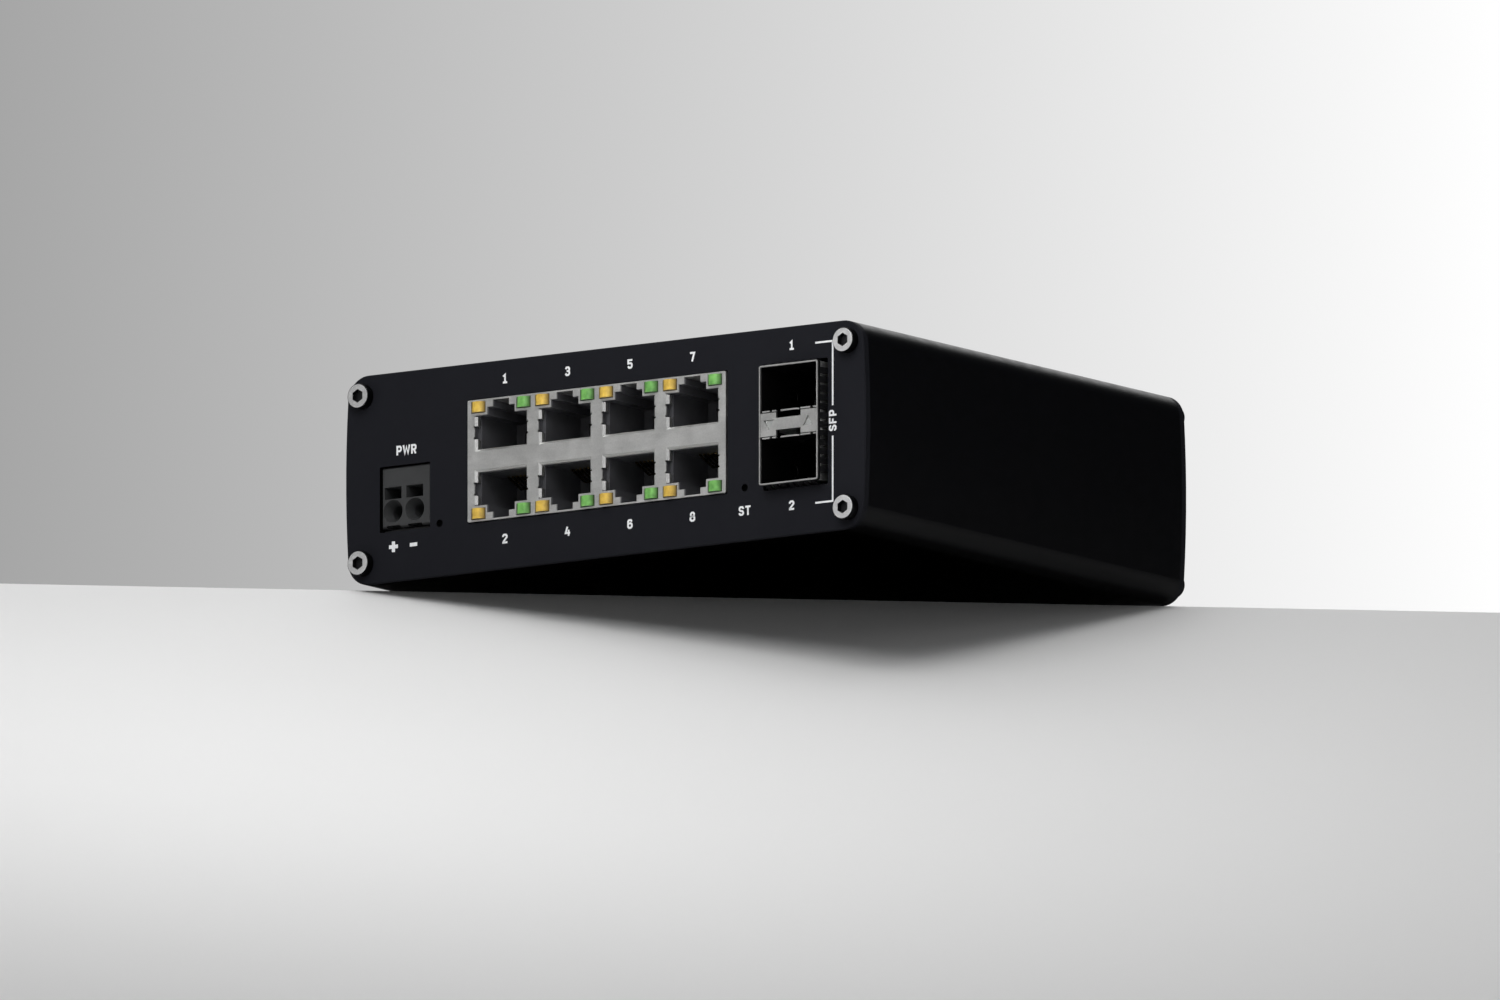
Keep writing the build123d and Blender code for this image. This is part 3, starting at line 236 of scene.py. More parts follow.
def turned_steel(name, colour, roughness):
    """Screw steel; the flat face of the head is machined bright, with turning marks, and the head's side
    and hexagon socket are painted near black as painted shade.
    """
    shader = Shader(name)
    shader.put(Metallic=1.0)
    split = shader.axes()
    across = shader.math("SUBTRACT", shader.math("ABSOLUTE", split["X"]), SCREW_X)
    lift = shader.math("ABSOLUTE", shader.math("SUBTRACT", split["Z"], MID_Z))
    lift = shader.math("SUBTRACT", lift, SCREW_DZ)
    across_squared = shader.math("MULTIPLY", across, across)
    lift_squared = shader.math("MULTIPLY", lift, lift)
    radius = shader.math("SQRT", shader.math("ADD", across_squared, lift_squared))
    rings = shader.math("SINE", shader.math("MULTIPLY", radius, 2 * math.pi / TURNING_PITCH))
    speckle = shader.noise(0.35, 3.0)
    before = shader.math("LESS_THAN", split["Y"], SCREWS_LOW.y + FACE_SKIN)
    behind = shader.math("GREATER_THAN", split["Y"], REAR_SCREWS_HIGH.y - FACE_SKIN)
    outer = shader.math("ADD", before, behind)
    on_face = shader.math("MULTIPLY", outer, shader.math("LESS_THAN", radius, FACE_R))
    worn = shader.ranged(speckle, 0.84, 1.0)
    # painted shade: away from the bright face, the head's side and the socket are near black
    shaded_steel = shader.blend(shader.math("LESS_THAN", radius, SOCKET_R), SHADE_BLACK_STEEL, SOCKET_SHADE_STEEL)
    finished = shader.blend(shader.math("MULTIPLY", on_face, worn), shaded_steel, colour)
    shader.link(finished, shader.bsdf.inputs["Base Color"])
    shader.rough(shader.noise(1.2, 4.0), roughness - 0.06, roughness + 0.1)
    shader.bump((rings, 0.0025), (speckle, 0.004))
    return shader.material


def plated_sheet(name, colour, roughness, grain_stretch, shaded_hollow=None):
    """Plated sheet metal: rolling grain, matt speckle and soft clouding.
    Inside the given hollow box the sheet is painted dull black and not metallic, as painted shade."""
    shader = Shader(name)
    shader.put(Metallic=1.0, Specular_IOR_Level=0.05)
    rolled = shader.noise(0.9, 3.0, grain_stretch)
    speckle = shader.noise(0.3, 2.0)
    both = shader.math("MULTIPLY", shader.math("ADD", rolled, speckle), 0.5)
    shader.tint(shader.ranged(both, 0.0, 1.0), tuple(0.8 * c for c in colour), colour)
    if shaded_hollow:
        # painted shade: inside the box the sheet turns dull black and loses its metal
        mask = shader.within(*shaded_hollow)
        plated = shader.bsdf.inputs["Base Color"].links[0].from_socket
        shader.link(shader.blend(mask, plated, PAINTED_SHADE_DARK), shader.bsdf.inputs["Base Color"])
        shader.link(shader.math("SUBTRACT", 1.0, mask), shader.bsdf.inputs["Metallic"])
    shader.rough(shader.noise(2.5, 4.0), roughness - 0.07, roughness + 0.09)
    shader.bump((rolled, 0.004), (speckle, 0.004))
    return shader.material


def moulded_plastic(name, dark, light, roughness, texture_mm=0.35, depth_mm=0.012, specular=0.4):
    """Moulded plastic with spark-eroded texture and faint flow marks."""
    shader = Shader(name)
    shader.put(Specular_IOR_Level=specular)
    shader.tint(shader.ranged(shader.noise(5.0, 3.0), 0.0, 1.0), dark, light)
    shader.rough(shader.noise(1.5, 3.0), roughness - 0.06, roughness + 0.08)
    shader.bump((shader.noise(texture_mm, 2.0), depth_mm))
    return shader.material


LAMP_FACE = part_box("port_lamps_amber")[0].y
LAMP_CROWN = 1.0 * MM


def lamp_lens(name, deep, bright, painted_flank_shade=True):
    """Tinted light pipe: gloss skin over a cloudy coloured body, with painted shade darkening the crown's
    flanks.
    """
    shader = Shader(name)
    shader.put(Subsurface_Weight=0.06, Subsurface_Scale=0.0008, Coat_Weight=0.25, Coat_Roughness=0.15)
    shader.bsdf.inputs["Subsurface Radius"].default_value = (1.0, 0.8, 0.5)
    body = shader.blend(shader.ranged(shader.noise(1.4, 3.0), 0.0, 1.0), deep, bright)
    if painted_flank_shade:
        # painted shade: the lens colour darkens from the top of the crown down its flanks
        sunk = shader.math("SUBTRACT", shader.axes()["Y"], LAMP_FACE)
        flank_shade_mask = shader.ranged(sunk, 0.0, 1.0, 0.12 * LAMP_CROWN, LAMP_CROWN)
        body = shader.blend(flank_shade_mask, body, tuple(0.18 * c for c in deep))
    shader.link(body, shader.bsdf.inputs["Base Color"])
    shader.rough(shader.noise(0.8, 3.0), 0.28, 0.4)
    shader.bump((shader.noise(0.25, 2.0), 0.003))
    return shader.material


def gold_plate(name, worn, bright):
    """Gold flash over nickel, with fine drawing lines along the contact."""
    shader = Shader(name)
    shader.put(Metallic=1.0)
    shader.tint(shader.ranged(shader.noise(0.5), 0.0, 1.0), worn, bright)
    shader.rough(shader.noise(0.4), 0.2, 0.34)
    shader.bump((shader.noise(0.2, 2.0, (1.0, 0.1, 1.0)), 0.002))
    return shader.material


def clear_pipe(name, tint):
    """Clear polycarbonate light pipe."""
    shader = Shader(name)
    shader.put(Transmission_Weight=0.15, IOR=1.58, Specular_IOR_Level=0.5)
    shader.tint(shader.ranged(shader.noise(1.0), 0.0, 1.0), tuple(0.85 * c for c in tint), tint)
    shader.rough(shader.noise(0.6), 0.16, 0.3)
    shader.bump((shader.noise(0.3, 2.0), 0.002))
    return shader.material


def circuit_board():
    """Green solder mask over routed copper tracks, with a fine glass weave."""
    shader = Shader("circuit_board")
    shader.put(Coat_Weight=0.4, Coat_Roughness=0.2)
    brick = shader.node("ShaderNodeTexBrick", Scale=170.0)
    brick.inputs["Mortar Size"].default_value = 0.03
    shader.link(shader.position(), brick.inputs["Vector"])
    tracks = brick.outputs["Fac"]
    weave = shader.noise(0.5, 1.0)
    shader.tint(tracks, (0.012, 0.075, 0.03), (0.03, 0.17, 0.07))
    shader.rough(weave, 0.3, 0.42)
    shader.bump((tracks, 0.03), (weave, 0.006))
    return shader.material


def chip_package():
    shader = Shader("chip_package")
    shader.tint(shader.ranged(shader.noise(2.0), 0.0, 1.0), (0.012, 0.012, 0.013), (0.022, 0.022, 0.023))
    shader.rough(shader.noise(0.8), 0.45, 0.6)
    shader.bump((shader.noise(0.12, 2.0), 0.01))
    return shader.material


def soft_pad():
    shader = Shader("thermal_pad")
    shader.tint(shader.ranged(shader.noise(3.0), 0.0, 1.0), (0.2, 0.28, 0.38), (0.26, 0.34, 0.46))
    shader.rough(shader.noise(1.0), 0.6, 0.75)
    shader.bump((shader.cells(0.8), 0.05))
    return shader.material


def drawn_aluminium(name, colour, roughness, stretch):
    shader = Shader(name)
    shader.put(Metallic=1.0)
    lines = shader.noise(0.6, 3.0, stretch)
    shader.tint(shader.ranged(lines, 0.0, 1.0), tuple(0.8 * c for c in colour), colour)
    shader.rough(shader.noise(2.0), roughness - 0.06, roughness + 0.08)
    shader.bump((lines, 0.006))
    return shader.material


def ceramic_body():
    shader = Shader("ceramic_body")
    shader.tint(shader.ranged(shader.noise(0.5), 0.0, 1.0), (0.3, 0.2, 0.11), (0.45, 0.32, 0.19))
    shader.rough(shader.noise(0.4), 0.4, 0.55)
    shader.bump((shader.noise(0.15), 0.006))
    return shader.material


def white_ink():
    """Screen-printed legend ink, slightly uneven."""
    shader = Shader("white_ink")
    shader.put(Specular_IOR_Level=0.3)
    shader.tint(shader.ranged(shader.noise(0.5), 0.0, 1.0), (0.74, 0.75, 0.76), (0.85, 0.86, 0.87))
    shader.rough(shader.noise(0.6), 0.5, 0.65)
    shader.bump((shader.noise(0.12), 0.004))
    return shader.material


CASE_COAT = coated_metal("case_coat", (0.0009, 0.001, 0.0018), (0.0013, 0.0014, 0.0023), 0.34, 0.1)
# Inside the box set by these margins, the walls of the panel's cutouts carry near black painted shade.
PANEL_RIM = Vector((4.0 * MM, 0.0, 2.0 * MM))
PANEL_SKIN = Vector((0.0, 0.04 * MM, 0.0))
PANEL_COAT = coated_metal("panel_coat", (0.0096, 0.01, 0.0132), (0.0106, 0.0111, 0.0143), 0.58, 0.08,
                          (PANEL_LOW + PANEL_RIM + PANEL_SKIN, PANEL_HIGH - PANEL_RIM))
SCREW_STEEL = turned_steel("screw_steel", (0.86, 0.86, 0.86), 0.42)
SHIELD_TIN = plated_sheet("shield_tin", (0.66, 0.66, 0.65), 0.46, (0.25, 1.0, 1.0))
# The inside of the module cage, within this box, is painted dull black as painted shade.
CAGE_SHEET = Vector((0.15 * MM, 0.0, 0.15 * MM))
CAGE_LIP = Vector((0.0, 0.6 * MM, 0.0))
CAGE_NICKEL = plated_sheet("cage_nickel", (0.6, 0.6, 0.59), 0.42, (1.0, 0.25, 1.0),
                           (CAGE_LOW + CAGE_SHEET + CAGE_LIP, CAGE_HIGH - CAGE_SHEET))
GASKET_STEEL = plated_sheet("gasket_steel", (0.02, 0.02, 0.021), 0.5, (1.0, 0.3, 1.0))
SPRING_STEEL = plated_sheet("spring_steel", (0.6, 0.6, 0.58), 0.3, (1.0, 1.0, 0.2))
TINNED_BRASS = plated_sheet("tinned_brass", (0.72, 0.69, 0.6), 0.34, (1.0, 0.3, 1.0))
ZINC = plated_sheet("zinc_plate", (0.58, 0.59, 0.61), 0.36, EVEN)
SOLDER = plated_sheet("solder", (0.68, 0.68, 0.69), 0.3, EVEN)
JACK_PLASTIC = moulded_plastic("jack_plastic", (0.055, 0.055, 0.06), (0.078, 0.078, 0.085), 0.36)
BLOCK_PLASTIC = moulded_plastic("block_plastic", (0.011, 0.011, 0.012), (0.017, 0.017, 0.019), 0.5)
PLUG_PLASTIC = moulded_plastic("plug_plastic", (0.03, 0.031, 0.032), (0.037, 0.038, 0.039), 0.52)
FERRITE = moulded_plastic("ferrite", (0.04, 0.04, 0.044), (0.06, 0.06, 0.065), 0.6, 0.2, 0.03)
AMBER_LAMP = lamp_lens("amber_lamp", (0.55, 0.34, 0.05), (0.85, 0.58, 0.09))
GREEN_LAMP = lamp_lens("green_lamp", (0.1, 0.3, 0.06), (0.22, 0.56, 0.13))
CHIP_LAMP = lamp_lens("chip_lamp", (0.6, 0.6, 0.5), (0.85, 0.85, 0.75), painted_flank_shade=False)
GOLD = gold_plate("gold_plate", (0.62, 0.42, 0.13), (0.83, 0.6, 0.22))
# darker gold for painted shade on the wires deep in the ports
SHADED_GOLD = gold_plate("gold_painted_shade", (0.11, 0.08, 0.035), (0.18, 0.13, 0.055))
FROSTED = clear_pipe("frosted_pipe", (0.46, 0.47, 0.46))
SMOKED = moulded_plastic("smoked_pipe", (0.0006, 0.0006, 0.0006), (0.001, 0.001, 0.001), 0.7, specular=0.03)
BOARD = circuit_board()
CHIP = chip_package()
PAD = soft_pad()
SINK = drawn_aluminium("sink_aluminium", (0.56, 0.56, 0.58), 0.4, (1.0, 0.1, 1.0))
CAN = drawn_aluminium("can_aluminium", (0.66, 0.66, 0.68), 0.3, (1.0, 1.0, 0.1))
CERAMIC = ceramic_body()
INK = white_ink()

FINISHES = {
    "black_coat": CASE_COAT, "panel_coat": PANEL_COAT, "screw_steel": SCREW_STEEL,
    "board_green": BOARD, "tinned_steel": SHIELD_TIN, "cage_steel": CAGE_NICKEL,
    "gasket_steel": GASKET_STEEL, "spring_steel": SPRING_STEEL, "gold_contact": GOLD,
    "tinned_brass": TINNED_BRASS, "jack_plastic": JACK_PLASTIC, "connector_plastic": BLOCK_PLASTIC,
    "plug_plastic": PLUG_PLASTIC, "lamp_amber": AMBER_LAMP, "lamp_green": GREEN_LAMP,
    "lamp_chip": CHIP_LAMP, "clear_pipe": FROSTED, "smoked_pipe": SMOKED, "chip_epoxy": CHIP,
    "solder_tin": SOLDER, "pad_silicone": PAD, "sink_aluminium": SINK, "can_aluminium": CAN,
    "ferrite": FERRITE, "ceramic_tan": CERAMIC,
}


# Zinc-plated earthing hardware and clamp pins share the screws' steel but not their near black painted
# shade.
# The wires deep in the ports are a darker gold than the other contacts, as painted shade.
OWN_FINISH = {
    "ground_screw": ZINC, "ground_washer": ZINC, "ground_nut": ZINC, "clamp_pins": ZINC,
    "jack_contacts_upper": SHADED_GOLD, "jack_contacts_lower": SHADED_GOLD,
}


def dress_cad_nodes():
    """Give every carried-over CAD node the material of its slot in the record."""
    for part in frame["record"]["subparts"]:
        node = frame["nodes"][part["node"]]
        material = OWN_FINISH.get(part["node"], FINISHES[part["material_slot"]])
        node.data.materials.clear()
        node.data.materials.append(material)


dress_cad_nodes()

# ---------------------------------------------------------------- printed legends
# Plain stroke lettering on a grid 4 wide and 6 high; each glyph is a few open paths.
STROKES = {
    "1": [[(0.7, 4.3), (2.1, 5.4), (2.1, 1.1)], [(0.5, 0.55), (3.7, 0.55)]],
    "2": [[(0.6, 4.1), (0.6, 4.7), (1.3, 5.4), (2.7, 5.4), (3.4, 4.7), (3.4, 3.8), (0.7, 0.9)],
          [(0.1, 0.55), (3.9, 0.55)]],
    "3": [[(0.6, 4.4), (1.3, 5.4), (2.7, 5.4), (3.4, 4.7), (3.4, 3.8), (2.9, 3.1), (3.4, 2.4),
           (3.4, 1.3), (2.7, 0.6), (1.3, 0.6), (0.6, 1.6)], [(1.5, 3.1), (2.5, 3.1)]],
    "4": [[(2.0, 5.9), (0.6, 1.9), (4.0, 1.9)], [(2.9, 3.9), (2.9, 2.5)], [(2.9, 1.3), (2.9, 0.0)]],
    "5": [[(3.8, 5.4), (0.7, 5.4), (0.7, 3.4), (2.7, 3.4), (3.4, 2.7), (3.4, 1.3), (2.7, 0.6),
           (1.3, 0.6), (0.6, 1.6)]],
    "6": [[(3.4, 4.4), (2.7, 5.4), (1.3, 5.4), (0.6, 4.7), (0.6, 1.3), (1.3, 0.6), (2.7, 0.6),
           (3.4, 1.3), (3.4, 2.7), (2.7, 3.4), (1.2, 3.4)]],
    "7": [[(0.2, 5.4), (3.4, 5.4), (1.7, 0.0)]],
    "8": [[(1.4, 3.15), (0.75, 3.9), (0.75, 4.8), (1.4, 5.5), (2.6, 5.5), (3.25, 4.8), (3.25, 3.9),
           (2.6, 3.15), (3.5, 2.3), (3.5, 1.2), (2.7, 0.5), (1.3, 0.5), (0.5, 1.2), (0.5, 2.3), (1.3, 3.1)],
          [(1.2, 3.15), (2.8, 3.15)]],
    "P": [[(0.6, 0.0), (0.6, 5.4), (2.7, 5.4), (3.4, 4.7), (3.4, 3.2), (2.7, 2.5), (1.2, 2.5)]],
    "W": [[(0.3, 6.0), (1.4, 0.5), (2.6, 4.8), (3.8, 0.5), (4.9, 6.0)]],
    "R": [[(0.6, 0.0), (0.6, 5.4), (2.7, 5.4), (3.4, 4.7), (3.4, 3.4), (2.7, 2.7), (1.2, 2.7)],
          [(2.3, 2.1), (3.4, 0.0)]],
    "S": [[(3.4, 4.2), (3.4, 4.7), (2.7, 5.4), (1.3, 5.4), (0.6, 4.7), (0.6, 3.9), (1.2, 3.2),
           (2.8, 2.8), (3.4, 2.1), (3.4, 1.3), (2.7, 0.6), (1.3, 0.6), (0.6, 1.3), (0.6, 1.8)]],
    "T": [[(0.0, 5.4), (4.0, 5.4)], [(2.0, 4.8), (2.0, 0.0)]],
    "F": [[(0.6, 0.0), (0.6, 5.4), (3.8, 5.4)], [(1.2, 2.9), (3.2, 2.9)]],
    "+": [[(0.2, 3.0), (3.8, 3.0)], [(2.0, 3.6), (2.0, 4.8)], [(2.0, 2.4), (2.0, 1.2)]],
    "-": [[(0.3, 3.0), (3.7, 3.0)]],
}
GRID_HIGH = 6.0
LETTER_WIDE = 4.0
ODD_WIDTHS = {"W": 5.2}
STROKE_W = 1.25
LETTER_GAP = 1.0
MITRE_LIMIT = 0.5           # cosine past which a sharp corner is cut short
INK_PROUD = 0.03 * MM


def ribbon(path, width):
    """Left and right edges of a mitred stroke along a path."""
    points = [Vector(p) for p in path]
    edges = []
    for i, point in enumerate(points):
        before = (point - points[i - 1]).normalized() if i else None
        after = (points[i + 1] - point).normalized() if i + 1 < len(points) else None
        first = before or after
        second = after or before
        normal = (Vector((-first.y, first.x)) + Vector((-second.y, second.x))).normalized()
        reach = width / 2 / max(MITRE_LIMIT, normal.dot(Vector((-first.y, first.x))))
        edges.append((point + normal * reach, point - normal * reach))
    return edges


def print_stroke(mesh, path, width, place):
    """Add one raised ink stroke; place maps a flat point to x and z on the panel."""
    rows = []
    for pair in ribbon(path, width):
        row = []
        for depth in (FRONT_Y - INK_PROUD, FRONT_Y + INK_PROUD / 2):
            for point in pair:
                x, z = place(point)
                row.append(mesh.verts.new((x, depth, z)))
        rows.append(row)
    for a, b in zip(rows, rows[1:]):
        mesh.faces.new((a[0], b[0], b[1], a[1]))
        mesh.faces.new((a[2], a[3], b[3], b[2]))
        mesh.faces.new((a[0], a[2], b[2], b[0]))
        mesh.faces.new((a[1], b[1], b[3], a[3]))
    for end in (rows[0], rows[-1]):
        mesh.faces.new((end[0], end[1], end[3], end[2]))


def print_text(mesh, text, x, z, height, turned=False, weight=STROKE_W):
    """Centre a legend at x and z; turned reads from bottom to top."""
    unit = height / GRID_HIGH
    widths = [ODD_WIDTHS.get(letter, LETTER_WIDE) for letter in text]
    total = sum(widths) + LETTER_GAP * (len(text) - 1)
    start = -total / 2
    for letter, wide in zip(text, widths):
        def place(point, start=start):
            across = (start + point.x) * unit
            up = (point.y - GRID_HIGH / 2) * unit
            return (x - up, z + across) if turned else (x + across, z + up)
        for path in STROKES[letter]:
            print_stroke(mesh, path, weight, place)
        start += wide + LETTER_GAP


def print_line(mesh, path, width):
    """A plain ruled line given in panel x and z."""
    print_stroke(mesh, path, width, lambda point: (point.x, point.y))


def finish_mesh(name, mesh, material, body="case"):
    """Turn a bmesh into a piece that rides on a body."""
    bmesh.ops.recalc_face_normals(mesh, faces=mesh.faces)
    data = bpy.data.meshes.new(name)
    mesh.to_mesh(data)
    mesh.free()
    data.materials.append(material)
    piece = bpy.data.objects.new(name, data)
    bpy.context.scene.collection.objects.link(piece)
    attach(piece, body)
    return piece


LEGEND_CAP = 2.0 * MM       # height of the capitals and numbers
NUMBER_PITCH = 15.87 * MM
NUMBER_SHIFT = 0.25 * MM    # numbers sit a little right of the block's middle
CAGE_NUMBER_SHIFT = -1.0 * MM
UPPER_LINE = TOP_Z - 4.0 * MM
LOWER_LINE = BASE_Z + 6.4 * MM
POWER_SHIFT = 0.4 * MM
POWER_ABOVE_PLUG = 3.3 * MM
SIGN_LINE = BASE_Z + 7.4 * MM
PLUS_X = -2.9 * MM          # signs from the middle of the plug
MINUS_X = 2.2 * MM
PLUS_SIZE = 3.75 * MM
MINUS_SIZE = 3.3 * MM
MINUS_WEIGHT = 1.4
STATUS_FROM_CAGE = 5.5 * MM
RULE_FROM_CAGE = 2.0 * MM   # bracket beside the module cage
TICK_INSIDE = 2.4 * MM      # its ends reach back over the cage
RULE_TOP = TOP_Z - 4.1 * MM
RULE_BOTTOM = BASE_Z + 6.3 * MM
RULE_BREAK = (20.1 * MM, 26.5 * MM)
RULE_W = 0.4 * MM
TURNED_CAP = 1.9 * MM


def legends():
    mesh = bmesh.new()
    block_mid = (SHIELD_LOW.x + SHIELD_HIGH.x) / 2 + NUMBER_SHIFT
    for column in range(4):
        x = block_mid + (column - 1.5) * NUMBER_PITCH
        print_text(mesh, str(2 * column + 1), x, UPPER_LINE, LEGEND_CAP)
        print_text(mesh, str(2 * column + 2), x, LOWER_LINE, LEGEND_CAP)
    cage_x = (CAGE_LOW.x + CAGE_HIGH.x) / 2 + CAGE_NUMBER_SHIFT
    print_text(mesh, "1", cage_x, UPPER_LINE, LEGEND_CAP)
    print_text(mesh, "2", cage_x, LOWER_LINE, LEGEND_CAP)
    plug_x = (PLUG_LOW.x + PLUG_HIGH.x) / 2
    print_text(mesh, "PWR", plug_x + POWER_SHIFT, PLUG_HIGH.z + POWER_ABOVE_PLUG, LEGEND_CAP)
    print_text(mesh, "+", plug_x + PLUS_X, SIGN_LINE, PLUS_SIZE)
    print_text(mesh, "-", plug_x + MINUS_X, SIGN_LINE, MINUS_SIZE, weight=MINUS_WEIGHT)
    print_text(mesh, "ST", CAGE_LOW.x - STATUS_FROM_CAGE, LOWER_LINE, LEGEND_CAP)
    rule_x = CAGE_HIGH.x + RULE_FROM_CAGE
    tick_x = CAGE_HIGH.x - TICK_INSIDE
    break_low, break_high = RULE_BREAK
    print_line(mesh, [(tick_x, RULE_TOP), (rule_x, RULE_TOP), (rule_x, break_high)], RULE_W)
    print_line(mesh, [(tick_x, RULE_BOTTOM), (rule_x, RULE_BOTTOM), (rule_x, break_low)], RULE_W)
    print_text(mesh, "SFP", rule_x, (break_low + break_high) / 2, TURNED_CAP, turned=True)
    return finish_mesh("panel_legends", mesh, INK)


legends()


# ---------------------------------------------------------------- camera
VIEW_AZIMUTH = math.radians(34.9)
VIEW_ELEVATION = math.radians(-9.6)
VIEW_WIDTH = 0.3123         # width of the view in metres
AIM_RIGHT = 30.1 * MM       # aim point from the middle of the front lower edge, along the view's axes
AIM_UP = 11.9 * MM
CAMERA_DISTANCE = 0.9
CLIP_NEAR = 0.01
CLIP_FAR = 20.0


def view_axes():
    """Right, up and back vectors of the view."""
    a, e = VIEW_AZIMUTH, VIEW_ELEVATION
    back = Vector((math.sin(a) * math.cos(e), -math.cos(a) * math.cos(e), math.sin(e)))
    right = Vector((math.cos(a), math.sin(a), 0.0))
    return right, back.cross(right), back


RIGHT, UP, TOWARDS = view_axes()
AIM = Vector((0.0, FRONT_Y, BASE_Z)) + RIGHT * AIM_RIGHT + UP * AIM_UP


def facing_view(place):
    """Placement square to the view."""
    return Matrix.Translation(place) @ Matrix((RIGHT, UP, TOWARDS)).transposed().to_4x4()


def camera():
    data = bpy.data.cameras.new("camera")
    data.type = "ORTHO"
    data.ortho_scale = VIEW_WIDTH
    data.clip_start = CLIP_NEAR
    data.clip_end = CLIP_FAR
    obj = bpy.data.objects.new("camera", data)
    bpy.context.scene.collection.objects.link(obj)
    obj.matrix_world = facing_view(AIM + TOWARDS * CAMERA_DISTANCE)
    bpy.context.scene.camera = obj


camera()


# ---------------------------------------------------------------- stage
FLOOR_DROP = 0.3 * MM       # floor below the base of the case
FLOOR_REACH = 3.0
FLOOR_TONE = 0.78
SLOPE_TONE = 0.8
RAMP_SLOPE = math.radians(22.0)
RAMP_REACH = 1.2
BACKDROP_BEHIND = 1.3       # from the point the camera aims at
BACKDROP_HALF_W = 0.45
BACKDROP_HALF_H = 0.35
BACKDROP_LEFT = 0.652       # display tone at the left edge of the view
BACKDROP_RISE = 0.35        # and how much lighter it is at the right edge
SRGB_OFFSET = 0.055         # display tone to light: ((tone + 0.055) / 1.055) ** 2.4
SRGB_SCALE = 1.055
SRGB_POWER = 2.4


def show_front_only(tree, surface):
    """Clear from behind, so that no stage piece hides the object in any view."""
    clear = tree.nodes.new("ShaderNodeBsdfTransparent")
    side = tree.nodes.new("ShaderNodeNewGeometry")
    mix = tree.nodes.new("ShaderNodeMixShader")
    tree.links.new(side.outputs["Backfacing"], mix.inputs["Fac"])
    tree.links.new(surface, mix.inputs[1])
    tree.links.new(clear.outputs["BSDF"], mix.inputs[2])
    tree.links.new(mix.outputs["Shader"], tree.nodes["Material Output"].inputs["Surface"])


def matt_paint(name, tone):
    """Matt pale paint, seen only from its upper side."""
    material = bpy.data.materials.new(name)
    material.use_nodes = True
    bsdf = material.node_tree.nodes["Principled BSDF"]
    bsdf.inputs["Base Color"].default_value = (tone, tone, tone, 1.0)
    bsdf.inputs["Roughness"].default_value = 0.8
    bsdf.inputs["Specular IOR Level"].default_value = 0.1
    show_front_only(material.node_tree, bsdf.outputs["BSDF"])
    return material


def stage_quad(name, corners, material):
    data = bpy.data.meshes.new(name)
    data.from_pydata([tuple(c) for c in corners], [], [(0, 1, 2, 3)])
    data.materials.append(material)
    obj = bpy.data.objects.new(name, data)
    bpy.context.scene.collection.objects.link(obj)
    return obj


def floor():
    z = BASE_Z - FLOOR_DROP
    r = FLOOR_REACH
    corners = [(-r, -r, z), (r, -r, z), (r, r, z), (-r, r, z)]
    stage_quad("floor", corners, matt_paint("floor_paint", FLOOR_TONE))


def ramp():
    """Pale slope that starts under the case's diagonal and falls away towards the camera.
    It lies below the floor and is what the low camera sees the case stand on."""
    front_left = Vector((PANEL_LOW.x, FRONT_Y, 0.0))
    rear_right = Vector((PANEL_HIGH.x, BACK_Y, 0.0))
    along = (rear_right - front_left).normalized()
    outward = Vector((along.y, -along.x, 0.0))
    down = outward * math.cos(RAMP_SLOPE) - Vector((0.0, 0.0, math.sin(RAMP_SLOPE)))
    middle = (front_left + rear_right) / 2
    middle.z = BASE_Z - 2 * FLOOR_DROP
    left = middle - along * RAMP_REACH
    right = middle + along * RAMP_REACH
    fall = down * RAMP_REACH
    corners = [left, left + fall, right + fall, right]
    stage_quad("slope", corners, matt_paint("slope_paint", SLOPE_TONE))


def backdrop():
    """Glowing backdrop behind the object, graded with painted light from mid grey at the left to white at
    the right.
    """
    material = bpy.data.materials.new("backdrop_painted_light")
    material.use_nodes = True
    tree = material.node_tree
    tree.nodes.remove(tree.nodes["Principled BSDF"])
    coords = tree.nodes.new("ShaderNodeTexCoord")
    split = tree.nodes.new("ShaderNodeSeparateXYZ")
    tree.links.new(coords.outputs["Object"], split.inputs["Vector"])

    def step(operation, value, number, clamp=False):
        node = tree.nodes.new("ShaderNodeMath")
        node.operation = operation
        node.use_clamp = clamp
        tree.links.new(value, node.inputs[0])
        node.inputs[1].default_value = number
        return node.outputs["Value"]

    # painted light: the glow grows brighter from left to right
    share = step("ADD", step("DIVIDE", split.outputs["X"], VIEW_WIDTH), 0.5, clamp=True)
    tone = step("ADD", step("MULTIPLY", share, BACKDROP_RISE), BACKDROP_LEFT)
    linear = step("POWER", step("DIVIDE", step("ADD", tone, SRGB_OFFSET), SRGB_SCALE), SRGB_POWER)
    glow = tree.nodes.new("ShaderNodeEmission")
    tree.links.new(linear, glow.inputs["Color"])
    show_front_only(tree, glow.outputs["Emission"])
    w, h = BACKDROP_HALF_W, BACKDROP_HALF_H
    obj = stage_quad("backdrop", [(-w, -h, 0), (w, -h, 0), (w, h, 0), (-w, h, 0)], material)
    obj.matrix_world = facing_view(AIM - TOWARDS * BACKDROP_BEHIND)
    obj.visible_diffuse = False


floor()
ramp()
backdrop()


# ---------------------------------------------------------------- light
ROOM_STRENGTH = 0.06        # light from the room on the object
WALL_TONE = 0.66            # what the eye sees behind the stage


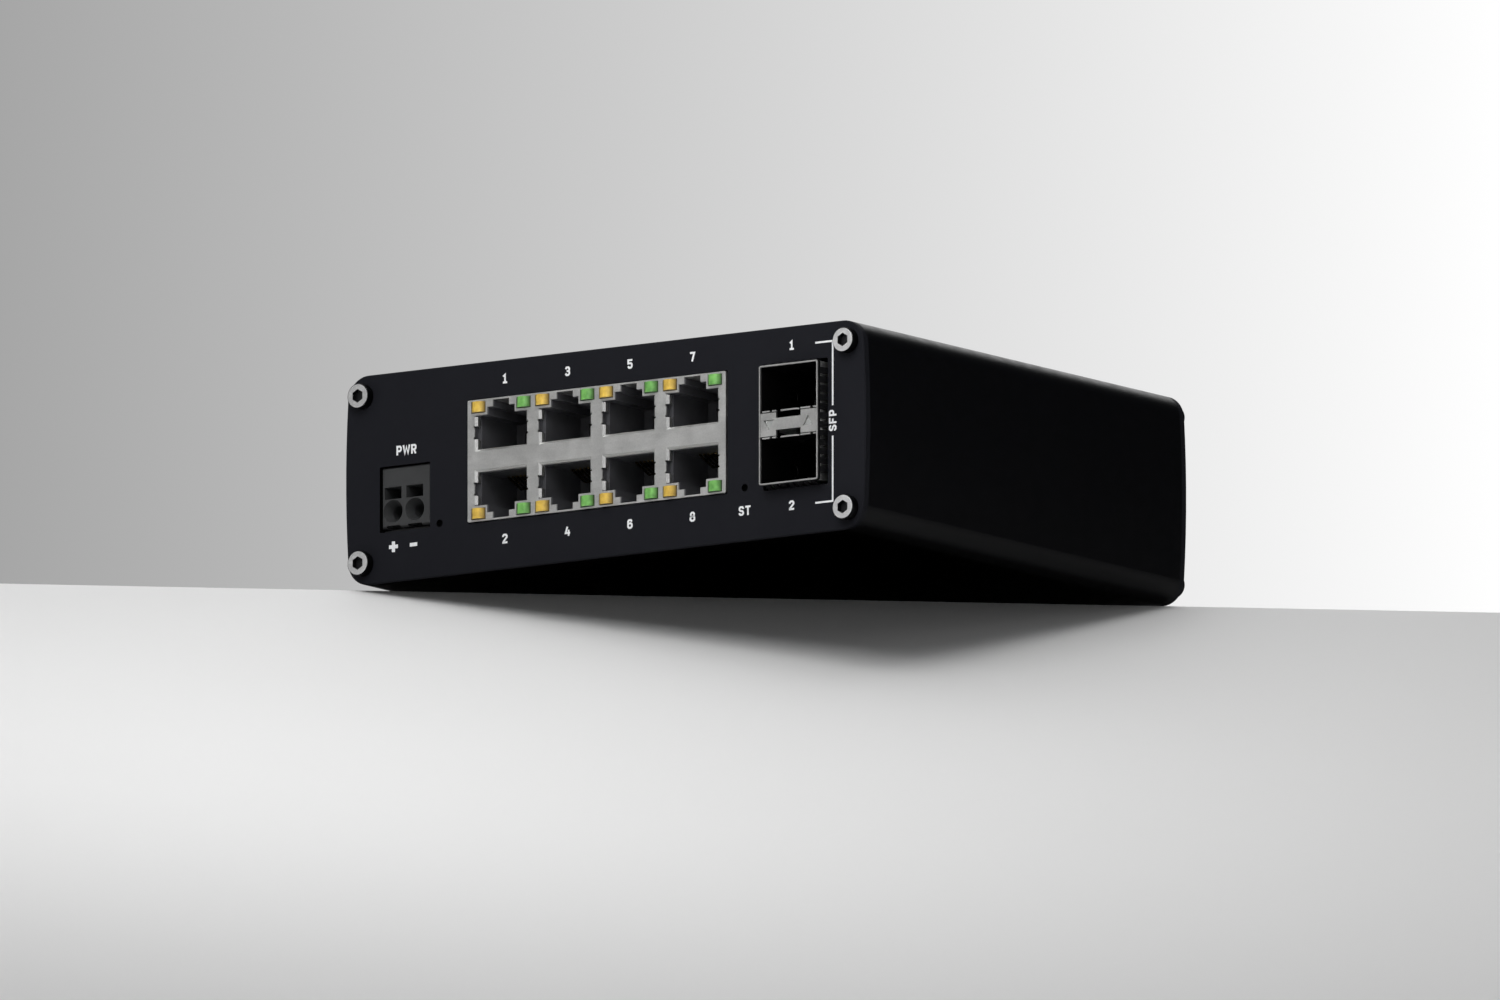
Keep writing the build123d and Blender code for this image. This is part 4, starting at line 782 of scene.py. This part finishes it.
def softbox(name, direction, distance, size, power):
    """Rectangular area light that looks at the object from a direction; metres and watts."""
    data = bpy.data.lights.new(name, "AREA")
    data.shape = "RECTANGLE"
    data.size, data.size_y = size
    data.energy = power
    obj = bpy.data.objects.new(name, data)
    bpy.context.scene.collection.objects.link(obj)
    out = Vector(direction).normalized()
    centre = Vector((0.0, 0.0, MID_Z))
    obj.location = centre + out * distance
    obj.rotation_mode = "QUATERNION"
    obj.rotation_quaternion = out.to_track_quat("Z", "Y")
    obj.visible_camera = False
    return obj


softbox("key_box", direction=(-0.57, -0.8, 0.25), distance=1.7, size=(3.0, 2.0), power=5.0)
softbox("front_box", direction=(0.25, -0.8, 0.5), distance=0.4, size=(0.22, 0.2), power=0.78)
softbox("right_box", direction=(0.95, -0.35, 0.3), distance=1.5, size=(1.2, 1.0), power=1.4)
softbox("low_box", direction=(0.5, -0.82, -0.12), distance=1.3, size=(1.6, 0.5), power=3.0)
softbox("overhead_box", direction=(-0.1, -0.15, 1.0), distance=1.9, size=(2.6, 2.6), power=18.0)
softbox("rear_box", direction=(-0.5, 0.8, 0.6), distance=1.9, size=(1.6, 1.0), power=8.0)


def world():
    """Dim studio for the light, pale wall for the eye."""
    scene = bpy.context.scene
    scene.world = bpy.data.worlds.new("studio")
    scene.world.use_nodes = True
    tree = scene.world.node_tree
    room = tree.nodes["Background"]
    room.inputs["Color"].default_value = (1.0, 1.0, 1.0, 1.0)
    room.inputs["Strength"].default_value = ROOM_STRENGTH
    wall = tree.nodes.new("ShaderNodeBackground")
    wall.inputs["Color"].default_value = (WALL_TONE, WALL_TONE, WALL_TONE, 1.0)
    path = tree.nodes.new("ShaderNodeLightPath")
    mix = tree.nodes.new("ShaderNodeMixShader")
    tree.links.new(path.outputs["Is Camera Ray"], mix.inputs["Fac"])
    tree.links.new(room.outputs["Background"], mix.inputs[1])
    tree.links.new(wall.outputs["Background"], mix.inputs[2])
    tree.links.new(mix.outputs["Shader"], tree.nodes["World Output"].inputs["Surface"])
    scene.view_settings.view_transform = "Standard"


world()

bpy.context.view_layer.update()
